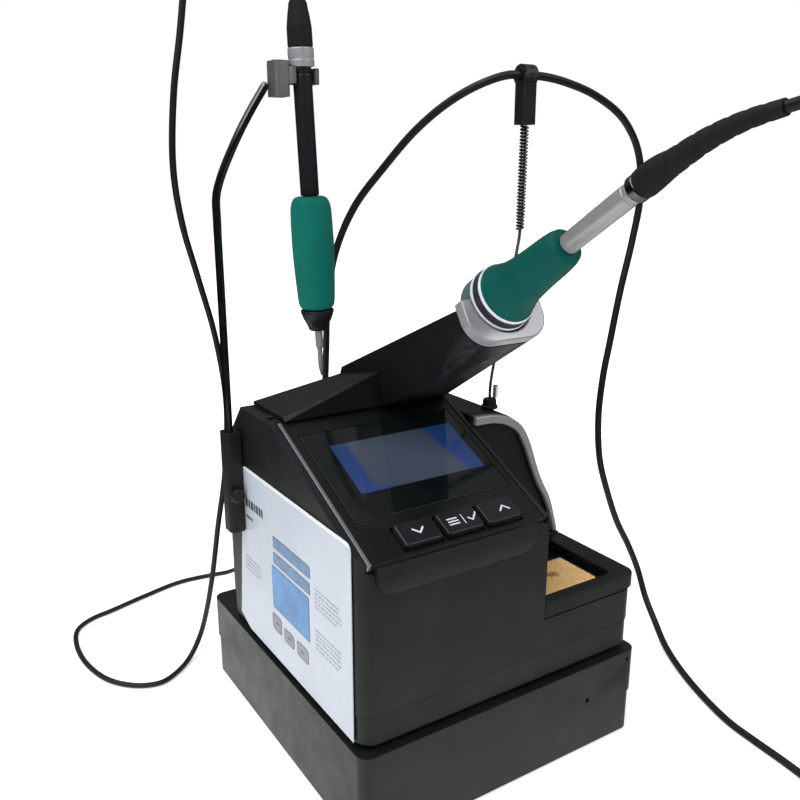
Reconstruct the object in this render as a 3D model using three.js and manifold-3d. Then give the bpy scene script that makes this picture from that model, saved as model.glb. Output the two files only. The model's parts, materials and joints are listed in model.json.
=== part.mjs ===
// Two-iron cartridge soldering station: a control unit with a slanted display panel and an
// iron rest on its roof stands on a flat supply box. A second iron hangs from a rod at the left.
// Millimetres, +Z up, the control panel faces -Y.
import * as THREE from 'three';
import { mergeVertices } from 'three/addons/utils/BufferGeometryUtils.js';
import { ConvexGeometry } from 'three/addons/geometries/ConvexGeometry.js';
import Module from 'manifold-3d';

const wasm = await Module();
wasm.setup();

// ---------------------------------------------------------------- driving dimensions
const GAP = 0.3;              // clearance between neighbouring pieces
const BASE_W = 150, BASE_D = 156.6, BASE_H = 43, BASE_SEAM = 21, BASE_R = 5;
const FOOT_H = 1.2;           // rubber feet stand this far below the supply box
const WALL = 2.4;
const UNIT_L = -73, UNIT_R = 73.6, UNIT_F = -75.6, UNIT_B = 57.5;
const UNIT_Z0 = 45.7, UNIT_SEAM = 58, TRAY_SEAM = 74, TRAY_TOP = 81.5;
const TOWER_R = 18;           // right side of the tall part
const ROOF_Z = 157.5;         // flat roof behind the panel
const SLOPE = 25 * Math.PI / 180;
const PANEL_T = 3;            // thickness of the panel bezel
const REST_X = -1;            // the rest's centre plane
const REST_O = new THREE.Vector3(REST_X, -81.4, 225.8);  // a point on the resting iron's axis
const REST_A = new THREE.Vector3(0, -0.8347, 0.5508).normalize();  // out of the mouth
const REST_V = new THREE.Vector3(0, 0.5508, 0.8347).normalize();   // upwards, square to the axis
const BORE_R = 14.1;
const HANG_Y = 20, HANG_TILT = 2.4 * Math.PI / 180;
const ROD_X = -78, ROD_Y = 34.4, ROD_R = 1.75;
const CORD_L_R = 1.4, CORD_R_R = 1.8;
// the whole station is moved so that its own origin is under the middle of its box
const SHIFT = new THREE.Vector3(3.2, 47.06, FOOT_H);

const station = new THREE.Group();
station.position.copy(SHIFT);

// ---------------------------------------------------------------- helpers
function solid(geometry) {
  let g = geometry.clone();
  g.deleteAttribute('normal');
  g.deleteAttribute('uv');
  g = mergeVertices(g, 1e-4);
  const mesh = new wasm.Mesh({
    numProp: 3,
    vertProperties: Float32Array.from(g.attributes.position.array),
    triVerts: Uint32Array.from(g.index.array),
  });
  return new wasm.Manifold(mesh);
}
function geometryOf(manifold) {
  const m = manifold.getMesh();
  const g = new THREE.BufferGeometry();
  g.setAttribute('position', new THREE.BufferAttribute(Float32Array.from(m.vertProperties), 3));
  g.setIndex(new THREE.BufferAttribute(Uint32Array.from(m.triVerts), 1));
  const flat = g.toNonIndexed();
  flat.computeVertexNormals();
  return flat;
}
function add(name, shape, colour, roughness, metalness, parent = station) {
  const geometry = shape.isBufferGeometry ? shape : geometryOf(shape);
  const material = new THREE.MeshStandardMaterial({ color: colour, roughness, metalness });
  const mesh = new THREE.Mesh(geometry, material);
  mesh.name = name;
  parent.add(mesh);
  return mesh;
}
const at = (g, x, y, z) => { g.translate(x, y, z); return g; };
function box(x0, x1, y0, y1, z0, z1) {
  return solid(at(new THREE.BoxGeometry(x1 - x0, y1 - y0, z1 - z0), (x0 + x1) / 2, (y0 + y1) / 2, (z0 + z1) / 2));
}
function roundRect(x0, x1, y0, y1, r) {
  const s = new THREE.Shape();
  s.moveTo(x0 + r, y0);
  s.lineTo(x1 - r, y0); s.absarc(x1 - r, y0 + r, r, -Math.PI / 2, 0);
  s.lineTo(x1, y1 - r); s.absarc(x1 - r, y1 - r, r, 0, Math.PI / 2);
  s.lineTo(x0 + r, y1); s.absarc(x0 + r, y1 - r, r, Math.PI / 2, Math.PI);
  s.lineTo(x0, y0 + r); s.absarc(x0 + r, y0 + r, r, Math.PI, Math.PI * 1.5);
  return s;
}
function rbox(x0, x1, y0, y1, z0, z1, r, seg = 4) {
  const g = new THREE.ExtrudeGeometry(roundRect(x0, x1, y0, y1, r), { depth: z1 - z0, bevelEnabled: false, curveSegments: seg });
  return solid(at(g, 0, 0, z0));
}
function prism(points, depth, matrix, seg = 6) {
  const s = Array.isArray(points) ? new THREE.Shape(points.map(p => new THREE.Vector2(p[0], p[1]))) : points;
  const g = new THREE.ExtrudeGeometry(s, { depth, bevelEnabled: false, curveSegments: seg });
  if (matrix) g.applyMatrix4(matrix);
  return solid(g);
}
// matrix whose columns are the three given axes and whose origin is o
function basis(x, y, z, o) {
  return new THREE.Matrix4().makeBasis(x, y, z).setPosition(o);
}
const X = new THREE.Vector3(1, 0, 0), Y = new THREE.Vector3(0, 1, 0), Z = new THREE.Vector3(0, 0, 1);
// a (y, z) outline pushed along +X from x0 to x1
function alongX(points, x0, x1) {
  return prism(points, x1 - x0, basis(Y, Z, X, new THREE.Vector3(x0, 0, 0)));
}
// an (x, z) outline pushed along +Y from y0 to y1
function alongY(points, y0, y1) {
  const mirrored = points.map(p => [-p[0], p[1]]).reverse();
  return prism(mirrored, y1 - y0, basis(X.clone().negate(), Z, Y, new THREE.Vector3(0, y0, 0)));
}
// a lathe of (radius, height) points about an axis through o
function turned(points, o, axis, seg = 20) {
  const g = new THREE.LatheGeometry(points.map(p => new THREE.Vector2(p[0], p[1])), seg);
  const q = new THREE.Quaternion().setFromUnitVectors(Y, axis.clone().normalize());
  g.applyQuaternion(q);
  g.translate(o.x, o.y, o.z);
  const s = solid(g);
  return s.volume() < 0 ? solid(flip(g)) : s;
}
function flip(g) {
  const f = g.clone().toNonIndexed ? (g.index ? g.toNonIndexed() : g.clone()) : g.clone();
  const p = f.attributes.position.array;
  for (let i = 0; i < p.length; i += 9) for (let k = 0; k < 3; k++) {
    const t = p[i + 3 + k]; p[i + 3 + k] = p[i + 6 + k]; p[i + 6 + k] = t;
  }
  return f;
}
const rod = (r, h0, h1, o, axis, seg = 20) => turned([[0, h0], [r, h0], [r, h1], [0, h1]], o, axis, seg);
const ring = (ri, ro, h0, h1, o, axis, seg = 20) => turned([[ri, h0], [ro, h0], [ro, h1], [ri, h1], [ri, h0]], o, axis, seg);
function tube(points, radius, sides, steps) {
  const curve = new THREE.CatmullRomCurve3(points.map(p => new THREE.Vector3(...p)), false, 'centripetal');
  const s = new THREE.Shape();
  for (let i = 0; i < sides; i++) {
    const a = (i / sides) * Math.PI * 2;
    if (i === 0) s.moveTo(Math.cos(a) * radius, Math.sin(a) * radius);
    else s.lineTo(Math.cos(a) * radius, Math.sin(a) * radius);
  }
  return new THREE.ExtrudeGeometry(s, { steps, extrudePath: curve, bevelEnabled: false });
}
// a tapered bent solid: short straight frusta joined end to end
function taper(points, radii, sides = 12) {
  const back = [];            // each frustum starts a little inside the one before
  const rings = points.map((p, i) => {
    const a = points[Math.max(0, i - 1)], b = points[Math.min(points.length - 1, i + 1)];
    const t = b.clone().sub(a).normalize();
    const u = new THREE.Vector3().crossVectors(Math.abs(t.x) > 0.9 ? Y : X, t).normalize();
    const w = new THREE.Vector3().crossVectors(t, u);
    back.push(t.clone().multiplyScalar(i ? -0.08 : 0));
    return [...Array(sides).keys()].map(k => {
      const c = (k / sides) * Math.PI * 2;
      return p.clone().addScaledVector(u, Math.cos(c) * radii[i]).addScaledVector(w, Math.sin(c) * radii[i]);
    });
  });
  let out = null;
  for (let i = 0; i + 1 < rings.length; i++) {
    const piece = solid(new ConvexGeometry([...rings[i].map(q => q.clone().add(back[i])), ...rings[i + 1]]));
    out = out ? out.add(piece) : piece;
  }
  return out;
}
const hull = points => solid(new ConvexGeometry(points.map(p => Array.isArray(p) ? new THREE.Vector3(...p) : p)));

// ---------------------------------------------------------------- finishes
const BLACK = 0x0e1011, SATIN = 0x141718, RUBBER = 0x101112, DARK = 0x1a1d20;
const STEEL = 0x8e9092, SILVER = 0xb9b8c0, TEAL = 0x00806c, DEEP_TEAL = 0x005a4c;

// ---------------------------------------------------------------- supply box
{
  const inset = 0.7;
  const o = rbox(-BASE_W / 2 + inset, BASE_W / 2 - inset, -BASE_D / 2 + inset, BASE_D / 2 - inset, 0, BASE_SEAM - GAP / 2, BASE_R - inset);
  const i = rbox(-BASE_W / 2 + inset + WALL, BASE_W / 2 - inset - WALL, -BASE_D / 2 + inset + WALL, BASE_D / 2 - inset - WALL, WALL, BASE_SEAM + 5, 2);
  let shell = o.subtract(i);
  for (const [x, y] of [[-64, -66], [64, -66], [-64, 66], [64, 66]])
    shell = shell.add(rod(4, WALL - 0.5, BASE_SEAM - 3, new THREE.Vector3(x, y, 0), Z, 12));
  // mains inlet cut, open at the top edge
  shell = shell.subtract(box(-58.6, -29.4, BASE_D / 2 - 6, BASE_D / 2 + 2, 9.2, BASE_SEAM + 1));
  shell = shell.subtract(box(-18.6, 1.6, BASE_D / 2 - 6, BASE_D / 2 + 2, 13.7, BASE_SEAM + 1));
  add('supply_bottom_shell', shell, BLACK, 0.62, 0.0);

  const oc = rbox(-BASE_W / 2, BASE_W / 2, -BASE_D / 2, BASE_D / 2, BASE_SEAM + GAP / 2, BASE_H, BASE_R);
  const ic = rbox(-BASE_W / 2 + WALL, BASE_W / 2 - WALL, -BASE_D / 2 + WALL, BASE_D / 2 - WALL, BASE_SEAM - 1, BASE_H - WALL, 2.6);
  let cover = oc.subtract(ic);
  cover = cover.subtract(box(-58.6, -29.4, BASE_D / 2 - 6, BASE_D / 2 + 2, BASE_SEAM - 1, 34.8));
  cover = cover.subtract(box(-18.6, 1.6, BASE_D / 2 - 6, BASE_D / 2 + 2, BASE_SEAM - 1, 30.3));
  // small blind holes at the front
  cover = cover.subtract(rod(1.2, -1, 1.2, new THREE.Vector3(44.5, -BASE_D / 2, 25.5), Y, 12));
  cover = cover.subtract(rod(0.9, -1, 1.4, new THREE.Vector3(69.2, -BASE_D / 2, 38.6), Y, 8));
  add('supply_top_cover', cover, BLACK, 0.58, 0.0);

  let n = 0;
  for (const [x, y] of [[-61, -64], [61, -64], [-61, 64], [61, 64]]) {
    n += 1;
    add('supply_foot_' + n, rod(6, -FOOT_H, -GAP, new THREE.Vector3(x, y, 0), Z, 20), RUBBER, 0.9, 0.0);
  }
  // rear mains inlet and rocker
  const yb = BASE_D / 2;
  let inlet = box(-58.3, -29.7, yb - 20, yb - 0.1, 9.5, 34.5).add(rbox(-61, -27, yb + GAP, yb + 2.2, 7, 37, 0.5).intersect(box(-61, -27, yb + GAP, yb + 2.2, 7, 37)));
  inlet = inlet.add(box(-57.5, -30.5, yb - 2, yb + 1, 10.5, 33.5));
  inlet = inlet.subtract(box(-55.6, -32.4, yb - 14, yb + 4, 14, 30));
  for (const x of [-51, -44, -37]) inlet = inlet.add(box(x - 1, x + 1, yb - 15, yb - 2, 19, 25));
  add('mains_inlet', inlet, 0x121212, 0.5, 0.0);
  let frame = box(-18.3, 1.3, yb - 9, yb + 0.2, 14, 30).add(box(-20, 3, yb + GAP, yb + 1.6, 12.4, 31.6)).add(box(-17.8, 0.8, yb - 1, yb + 1, 14.5, 29.5));
  frame = frame.subtract(box(-15.8, -1.2, yb - 7, yb + 3, 15.5, 28.5));
  add('power_switch_frame', frame, 0x111111, 0.5, 0.0);
  const rocker = alongX([[yb - 3.6, 17], [yb + 1.9, 16], [yb + 1.2, 22], [yb + 3.2, 26.9], [yb - 3.6, 26.9]], -15.3, -1.7);
  add('power_rocker', rocker, 0x1a1a1a, 0.45, 0.0);

  // inside: board and transformer
  let board = box(-60, 58, -52, 48, 8, 9.6);
  for (const [x, y] of [[-56, -48], [54, -48], [-56, 44], [54, 44]])
    board = board.add(rod(2.5, WALL + GAP, 8.5, new THREE.Vector3(x, y, 0), Z, 10));
  add('supply_board', board, 0x2f6b3a, 0.6, 0.0);
  add('supply_transformer', box(-20, 22, -20, 18, 9.9, 36).add(box(-15, 17, -28, 26, 13, 33)), 0x9c8a3a, 0.6, 0.1);
}

// ---------------------------------------------------------------- control unit housing
const footprint = (z0, z1, g = 0, r = 7.5) => rbox(UNIT_L + g, UNIT_R - g, UNIT_F + g, UNIT_B - g, z0, z1, r - g, 5);
{
  let shell = footprint(UNIT_Z0, UNIT_SEAM - GAP / 2, 0.4).subtract(footprint(UNIT_Z0 + WALL, UNIT_SEAM + 2, 0.4 + WALL));
  for (const [x, y] of [[-62, -64], [62, -64], [-62, 46], [62, 46]])
    shell = shell.add(rod(3.5, UNIT_Z0 + WALL - 0.5, UNIT_SEAM - 1, new THREE.Vector3(x, y, 0), Z, 12));
  // moulded feet lift it off the supply box
  for (const [x, y] of [[-60, -62], [60, -62], [-60, 45], [60, 45]])
    shell = shell.add(rod(5, BASE_H + 0.1, UNIT_Z0 + 0.5, new THREE.Vector3(x, y, 0), Z, 18));
  add('unit_bottom_shell', shell, BLACK, 0.6, 0.0);
}
// local panel frame: x across, y up the slope, z out of the panel; origin at the panel's top edge
const PY = new THREE.Vector3(0, Math.cos(SLOPE), Math.sin(SLOPE));
const PZ = new THREE.Vector3(0, -Math.sin(SLOPE), Math.cos(SLOPE));
const PANEL = basis(X, PY, PZ, new THREE.Vector3(0, 0, ROOF_Z));
const onPanel = s => s.transform([...PANEL.elements]);
const panelPoint = (s, w) => [-s * Math.cos(SLOPE) - w * Math.sin(SLOPE), ROOF_Z - s * Math.sin(SLOPE) + w * Math.cos(SLOPE)];
const D = PANEL_T + GAP;      // depth of the casing roof under the panel face
{
  const roof = (y, drop) => ROOF_Z + Math.min(y, 0) * Math.tan(SLOPE) - drop / Math.cos(SLOPE);
  const side = [[UNIT_F, UNIT_SEAM + GAP / 2], [UNIT_B, UNIT_SEAM + GAP / 2], [UNIT_B, 96], [46.5, 141.4], [32, 157.6], [0, 157.6], [UNIT_F, roof(UNIT_F, 0)]];
  const inner = [[UNIT_F + WALL, UNIT_SEAM - 2], [UNIT_B - WALL, UNIT_SEAM - 2], [UNIT_B - WALL, 95.6], [44.2, 140.2], [30.9, 157.6 - WALL], [6, 157.6 - WALL], [0, roof(0, D + WALL)], [UNIT_F + WALL, roof(UNIT_F + WALL, D + WALL)]];
  let tower = alongX(side, UNIT_L - 5, TOWER_R).intersect(rbox(UNIT_L, TOWER_R + 20, UNIT_F, UNIT_B, UNIT_SEAM + GAP / 2, 170, 7.5, 5));
  const hollow = alongX(inner, UNIT_L + WALL, TOWER_R - WALL);
  const plinth = footprint(UNIT_SEAM + GAP / 2, TRAY_SEAM - GAP / 2).intersect(box(TOWER_R - 1, UNIT_R + 1, UNIT_F - 1, UNIT_B + 1, 50, 90));
  const plinthHollow = footprint(UNIT_SEAM - 2, TRAY_SEAM - GAP / 2 - WALL, WALL).intersect(box(TOWER_R - 4, UNIT_R + 1, UNIT_F - 1, UNIT_B + 1, 50, 90));
  let casing = tower.add(plinth).subtract(hollow).subtract(plinthHollow);
  // recess that the bezel and its trims lie in
  casing = casing.subtract(alongX([[UNIT_F - 3, roof(UNIT_F - 3, D)], [1.6, roof(0, D) + 1.6 * Math.tan(SLOPE)], [1.6, 170], [UNIT_F - 3, 170]], -70, 17.2));
  // display window and key windows in the sloping roof
  casing = casing.subtract(onPanel(box(-58, 10, -55, -15, -12, 2)));
  for (const [x0, x1] of [[-50, -37], [-30.5, -17], [-9, 2]]) casing = casing.subtract(onPanel(box(x0, x1, -77.5, -71.5, -12, 2)));
  // rear socket holes
  for (const x of [-44, -6]) casing = casing.subtract(rod(7.3, -6, 6, new THREE.Vector3(x, UNIT_B, 78), Y, 20));
  add('unit_casing', casing, SATIN, 0.55, 0.0);
}
// ---------------------------------------------------------------- slanted panel
const KEYS = [['key_down', -52, -34.4], ['key_menu', -32.5, -14.5], ['key_up', -12.6, 5]];
{
  let bezel = box(-67.7, 15.2, -83.2, -0.3, -PANEL_T, 0);
  bezel = bezel.subtract(box(-64.3, 12.3, -62.3, -9.7, -1.8, 1)).subtract(box(-57, 9, -53, -16, -5, 1));
  for (const [, x0, x1] of KEYS) bezel = bezel.subtract(box(x0 - 0.4, x1 + 0.4, -81, -68.4, -5, 1));
  bezel = onPanel(bezel);
  const fz = ROOF_Z + UNIT_F * Math.tan(SLOPE);
  const apronShape = new THREE.Shape();
  apronShape.moveTo(-67, 110 + 8); apronShape.absarc(-59, 118, 8, Math.PI, Math.PI * 1.5);
  apronShape.lineTo(2, 110); apronShape.absarc(2, 118, 8, -Math.PI / 2, 0); apronShape.lineTo(10, fz - 0.2); apronShape.lineTo(-67, fz - 0.2);
  // outline is in (x, z); pushed towards -Y
  const apron = prism(apronShape, 1.5, basis(X, Z, Y.clone().negate(), new THREE.Vector3(0, UNIT_F - GAP, 0)), 5);
  // a nose joins the panel's front edge to the apron
  const nose = alongX([panelPoint(81.6, 0), panelPoint(81.6, -PANEL_T), [UNIT_F - GAP, fz - 4.2], [UNIT_F - GAP - 1.5, fz - 4.4], [UNIT_F - GAP - 1.5, fz - 1.2], panelPoint(83.2, 0)], -67, 10);
  bezel = bezel.add(apron).add(nose);
  const roofBlock = alongX([[UNIT_F - GAP, 60], [UNIT_F - GAP, ROOF_Z + (UNIT_F - GAP) * Math.tan(SLOPE) - PANEL_T / Math.cos(SLOPE)], [0, ROOF_Z - PANEL_T / Math.cos(SLOPE)], [0, 60]], -80, 30);
  bezel = bezel.subtract(roofBlock);
  add('panel_bezel', bezel, DARK, 0.28, 0.0);
  add('panel_trim_left', onPanel(box(-69.6, -68, -83, -0.4, -2.6, 0.5)).subtract(box(-80, 30, -200, UNIT_F - 0.1, 0, 300)), SILVER, 0.3, 0.8);
  add('panel_trim_right', onPanel(box(15.5, 16.9, -83, -0.4, -2.6, 0.5)).subtract(box(-80, 30, -200, UNIT_F - 0.1, 0, 300)), SILVER, 0.3, 0.8);
  add('display_glass', onPanel(box(-64, 12, -62, -10, -1.5, 0.1)), 0x07090b, 0.06, 0.0);
  add('display_module', onPanel(box(-56, 8, -50.5, -17.5, -9, -2.1)), 0x1c3c80, 0.3, 0.0);
  for (const [name, x0, x1] of KEYS) {
    const cap = prism(roundRect(x0, x1, -80.6, -68.8, 2), 4.6, basis(X, Y, Z, new THREE.Vector3(0, 0, -1.9)), 3);
    const mid = (x0 + x1) / 2;
    add(name, onPanel(cap.add(box(mid - 2, mid + 2, -76.2, -72.8, -7.6, -1.8))), 0x191c1f, 0.42, 0.0);
  }
  let keyBoard = box(-54, 7, -80, -68.5, -13.4, -12);
  for (const [, x0, x1] of KEYS) {
    const mid = (x0 + x1) / 2;
    keyBoard = keyBoard.add(box(mid - 3, mid + 3, -77.5, -71.5, -12.5, -8.9));
  }
  add('key_board', onPanel(keyBoard), 0x245c34, 0.6, 0.0);
  add('roof_lamp', rod(1.4, 0, 0.8, new THREE.Vector3(-69.2, 7.7, 157.9), Z, 14), 0x1d1f22, 0.3, 0.2);
}
// side label, a thin printed plate on the left wall
{
  const s = new THREE.Shape();
  const r = 3.5;
  s.moveTo(-69.5, 46);
  s.lineTo(31, 46); s.lineTo(42, 50.2); s.lineTo(31.5, 127); s.absarc(28.5, 126.6, r, 0, Math.PI / 2);
  s.lineTo(-69.5 + r, 130); s.absarc(-69.5 + r, 130 - r, r, Math.PI / 2, Math.PI);
  s.lineTo(-69.5, 46);
  const label = prism(s, 0.5, basis(Y, Z, X, new THREE.Vector3(UNIT_L - GAP - 0.5, 0, 0)), 4);
  add('side_label', label, 0xc8d0da, 0.35, 0.0);
}
// control board standing inside the tower
add('control_board', box(-62, 8, 30, 31.6, 64, 132).add(box(-50, -20, 24, 31, 80, 104)).add(box(-8, 4, 22, 31, 70, 92)), 0x27603a, 0.6, 0.0);

// ---------------------------------------------------------------- iron rest
const restPoint = (w, x, v) => REST_O.clone().addScaledVector(REST_A, w).addScaledVector(REST_V, v).add(new THREE.Vector3(x, 0, 0));
{
  const z0 = 158.1;
  const half = 19;
  // section of the mouth: flat sides and a round floor
  const section = w => {
    const pts = [];
    for (const v of [-1, -5]) pts.push(restPoint(w, half, v), restPoint(w, -half, v));
    for (let k = 0; k <= 6; k++) {
      const a = (k / 6) * Math.PI / 2;
      pts.push(restPoint(w, half - 11 + 11 * Math.cos(a), -6.5 - 11 * Math.sin(a)));
      pts.push(restPoint(w, -half + 11 - 11 * Math.cos(a), -6.5 - 11 * Math.sin(a)));
    }
    return pts;
  };
  const back = [
    [REST_X - half, 33.6, z0], [REST_X + half - 1.5, 33.6, z0], [REST_X - half, 34.6, 166], [REST_X + half, 34.6, 166],
    [REST_X - half, 33, 169.2], [REST_X + half, 33, 169.2], [REST_X - half, -2.6, z0], [REST_X + half - 1.5, -2.6, z0],
  ];
  const leftFoot = [[REST_X - half, -46, 178], [REST_X - half, -50, 184], [REST_X - half + 3, -46.5, 178.5]];
  const sleeve = hull([...section(-28.6), ...back, ...leftFoot, restPoint(-33, -half, -1), restPoint(-33, half, -1)]);
  const ramp = hull([
    [-66.8, -2, z0], [-66.8, 31.5, z0], [REST_X - half + 1, -2.4, z0], [REST_X - half + 1, 33.5, z0],
    [-66.8, 0, z0 + 1.5], [-66.8, 31, z0 + 1.5], [REST_X - half + 1, 33, 166.4], [REST_X - half + 1, 20, 168.6], [REST_X - half + 1, -2.4, 174.6],
  ]);
  const body = sleeve.add(ramp);
  const bore = rod(BORE_R, -96, 20, REST_O, REST_A, 28);
  // seats for the four screws' bosses are inside; the underside is hollowed at the back
  let fairing = body.subtract(bore);
  fairing = fairing.subtract(box(-46, -24, 4, 26, z0 - 1, z0 + 1.6));
  add('rest_fairing', fairing, 0x0c0d0e, 0.5, 0.0);
  // half-round liner that the grip's front end lies on
  let liner = ring(9.6, BORE_R - 0.3, -42.9, -33.5, REST_O, REST_A, 28);
  const low = new THREE.BoxGeometry(60, 30, 200);
  low.applyMatrix4(basis(X, REST_V, REST_A, restPoint(-40, 0, -15)));
  liner = liner.intersect(solid(low)).intersect(body);
  add('rest_liner', liner, 0xc9c7cf, 0.3, 0.7);
  // steel cup that the nozzle end stops in
  let cup = turned([[0, -95.6], [BORE_R - 0.3, -95.6], [BORE_R - 0.3, -43.5], [3.6, -43.5], [3.6, -92], [0, -92]], REST_O, REST_A, 24);
  cup = cup.intersect(body);
  add('rest_cup', cup, STEEL, 0.35, 0.8);
  // open-topped silver rim across the mouth
  const rim = new THREE.Shape();
  rim.moveTo(half, 1.2); rim.lineTo(-half, 1.2); rim.lineTo(-half, -6.5);
  rim.absarc(-half + 11, -6.5, 11, Math.PI, Math.PI * 1.5);
  rim.lineTo(half - 11, -17.5); rim.absarc(half - 11, -6.5, 11, -Math.PI / 2, 0);
  let rimSolid = prism(rim, 5.2, basis(X, REST_V, REST_A, restPoint(-28.3, 0, 0)), 6);
  rimSolid = rimSolid.subtract(rod(BORE_R, -40, 0, REST_O, REST_A, 28));
  // bevel the upper ends
  add('rest_rim', rimSolid, SILVER, 0.28, 0.7);
}

// ---------------------------------------------------------------- irons
// profile heights run from the tip (h = 0 at the grip's nozzle end) towards the cable
function iron(prefix, o, axis, L, teal, profile) {
  add(prefix + '_nozzle', turned([[2.2, -10], [4.6, -10], [7.6, -0.3], [7.6, -0.3], [2.2, -0.3], [2.2, -10]], o, axis, 20), 0x17181a, 0.45, 0.1);
  add(prefix + '_grip', turned([[2.2, 0], ...profile, [2.2, L], [2.2, 0]], o, axis, 24), teal, 0.75, 0.0);
  add(prefix + '_cartridge', turned([[0, -31], [0.4, -31], [1.1, -27.5], [1.2, -18], [1.8, -17], [1.8, L - 6], [0, L - 6]], o, axis, 14), 0x9d9a96, 0.3, 0.9);
  return L;
}
{
  // hanging iron, grip from z 201 to 250, leaning to the left at the top
  const axis = new THREE.Vector3(-Math.sin(HANG_TILT), 0, Math.cos(HANG_TILT));
  const o = new THREE.Vector3(-38.9, HANG_Y, 201);
  iron('hanging_iron', o, axis, 49, TEAL, [[7.0, 0], [8.1, 2.6], [8.5, 10], [8.9, 18], [9.2, 28], [9.0, 40], [8.3, 46.2], [6.4, 49]]);
  add('hanging_iron_tube', rod(4, 49.3, 100.6, o, axis, 20), 0x121314, 0.4, 0.2);
  add('hanging_iron_ferrule', turned([[0, 100.9], [5.4, 100.9], [5.4, 108.4], [0, 108.4]], o, axis, 20), 0xc5c3cc, 0.28, 0.85);
  add('hanging_iron_boot', turned([[0, 108.7], [5.3, 108.7], [5.2, 116], [3.9, 124], [3.0, 134], [2.3, 147], [0, 147]], o, axis, 18), 0x0b0b0c, 0.75, 0.0);
}
{
  const o = restPoint(-33, 0, 0);
  // its front end has a wide guard that lies in the mouth of the rest
  iron('resting_iron', o, REST_A, 52.5, DEEP_TEAL, [[12.4, 0], [13, 0.9], [13.1, 8.6], [13.5, 9.2], [13.5, 10.4], [12.7, 14], [12.5, 15], [11.7, 15.6], [11, 18.5], [9.9, 22], [9, 28], [8.4, 35], [8, 43], [7.6, 48], [7, 51.3], [5.8, 52.5]]);
  add('resting_iron_tube', rod(3.9, 52.8, 86.5, o, REST_A, 20), 0x4a4d52, 0.35, 0.5);
  add('resting_iron_ferrule', turned([[0, 86.8], [4.7, 86.8], [4.7, 90.2], [0, 90.2]], o, REST_A, 20), 0x303236, 0.35, 0.6);
  const b0 = o.clone().addScaledVector(REST_A, 90.5);
  const boot = taper([b0, b0.clone().addScaledVector(REST_A, 8), new THREE.Vector3(-1, -140.5, 264.2), new THREE.Vector3(-1, -152, 270.4), new THREE.Vector3(-0.6, -163.5, 275), new THREE.Vector3(0, -175, 278)], [5.1, 5.0, 4.4, 3.7, 3.0, 2.45], 14);
  add('resting_iron_boot', boot, 0x0b0b0c, 0.75, 0.0);
}

// ---------------------------------------------------------------- hanger for the left iron
{
  let bracket = rbox(-81.2, -70, 30, 39.2, 98, 146, 2, 4).intersect(box(-84, -74.3, 24, 46, 98, 146));
  bracket = bracket.subtract(rod(ROD_R + 0.25, -40, 60, new THREE.Vector3(ROD_X, ROD_Y, 116), Z, 16).subtract(box(-90, -60, 0, 60, 60, 112)));
  bracket = bracket.subtract(rod(1.95, -6, 4, new THREE.Vector3(ROD_X, 29, 117), Y, 14));
  add('hanger_bracket', bracket, BLACK, 0.5, 0.0);
  const knob = turned([[0, -4.4], [3.2, -4.4], [3.4, -3.8], [3.4, -0.9], [1.7, -0.7], [1.7, 2.0], [0, 2.0]], new THREE.Vector3(ROD_X, 30.3, 117), Y, 16);
  add('hanger_knob', knob, 0x151515, 0.5, 0.3);
  const path = [[ROD_X, ROD_Y, 113], [ROD_X, ROD_Y, 150], [ROD_X, ROD_Y, 200], [ROD_X, ROD_Y, 240], [ROD_X + 0.2, ROD_Y - 0.2, 250], [-76, 32.4, 258], [-70, 27.6, 273.7], [-64, 25.2, 285], [-57.8, 23, 295.2]];
  add('hanger_rod', tube(path, ROD_R, 10, 44), 0x55565a, 0.35, 0.85);
  // clip block with a fork round the iron's tube, open to the front
  const cx = -38.9 - Math.sin(HANG_TILT) * 97;
  let clip = rbox(-55.9, -49.2, 18, 27.5, 290, 304, 1.5, 3);
  clip = clip.add(prism(roundRect(-50.5, cx + 7.2, HANG_Y - 3.5, HANG_Y + 7.2, 3), 6.2, basis(X, Y, Z, new THREE.Vector3(0, 0, 295.2)), 4));
  clip = clip.subtract(rod(4.4, 285, 310, new THREE.Vector3(cx, HANG_Y, 0), Z, 20)).subtract(box(cx - 4.4, cx + 4.4, HANG_Y - 12, HANG_Y, 285, 310));
  add('hanger_clip', clip, 0xb4b6ba, 0.35, 0.7);
}

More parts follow.
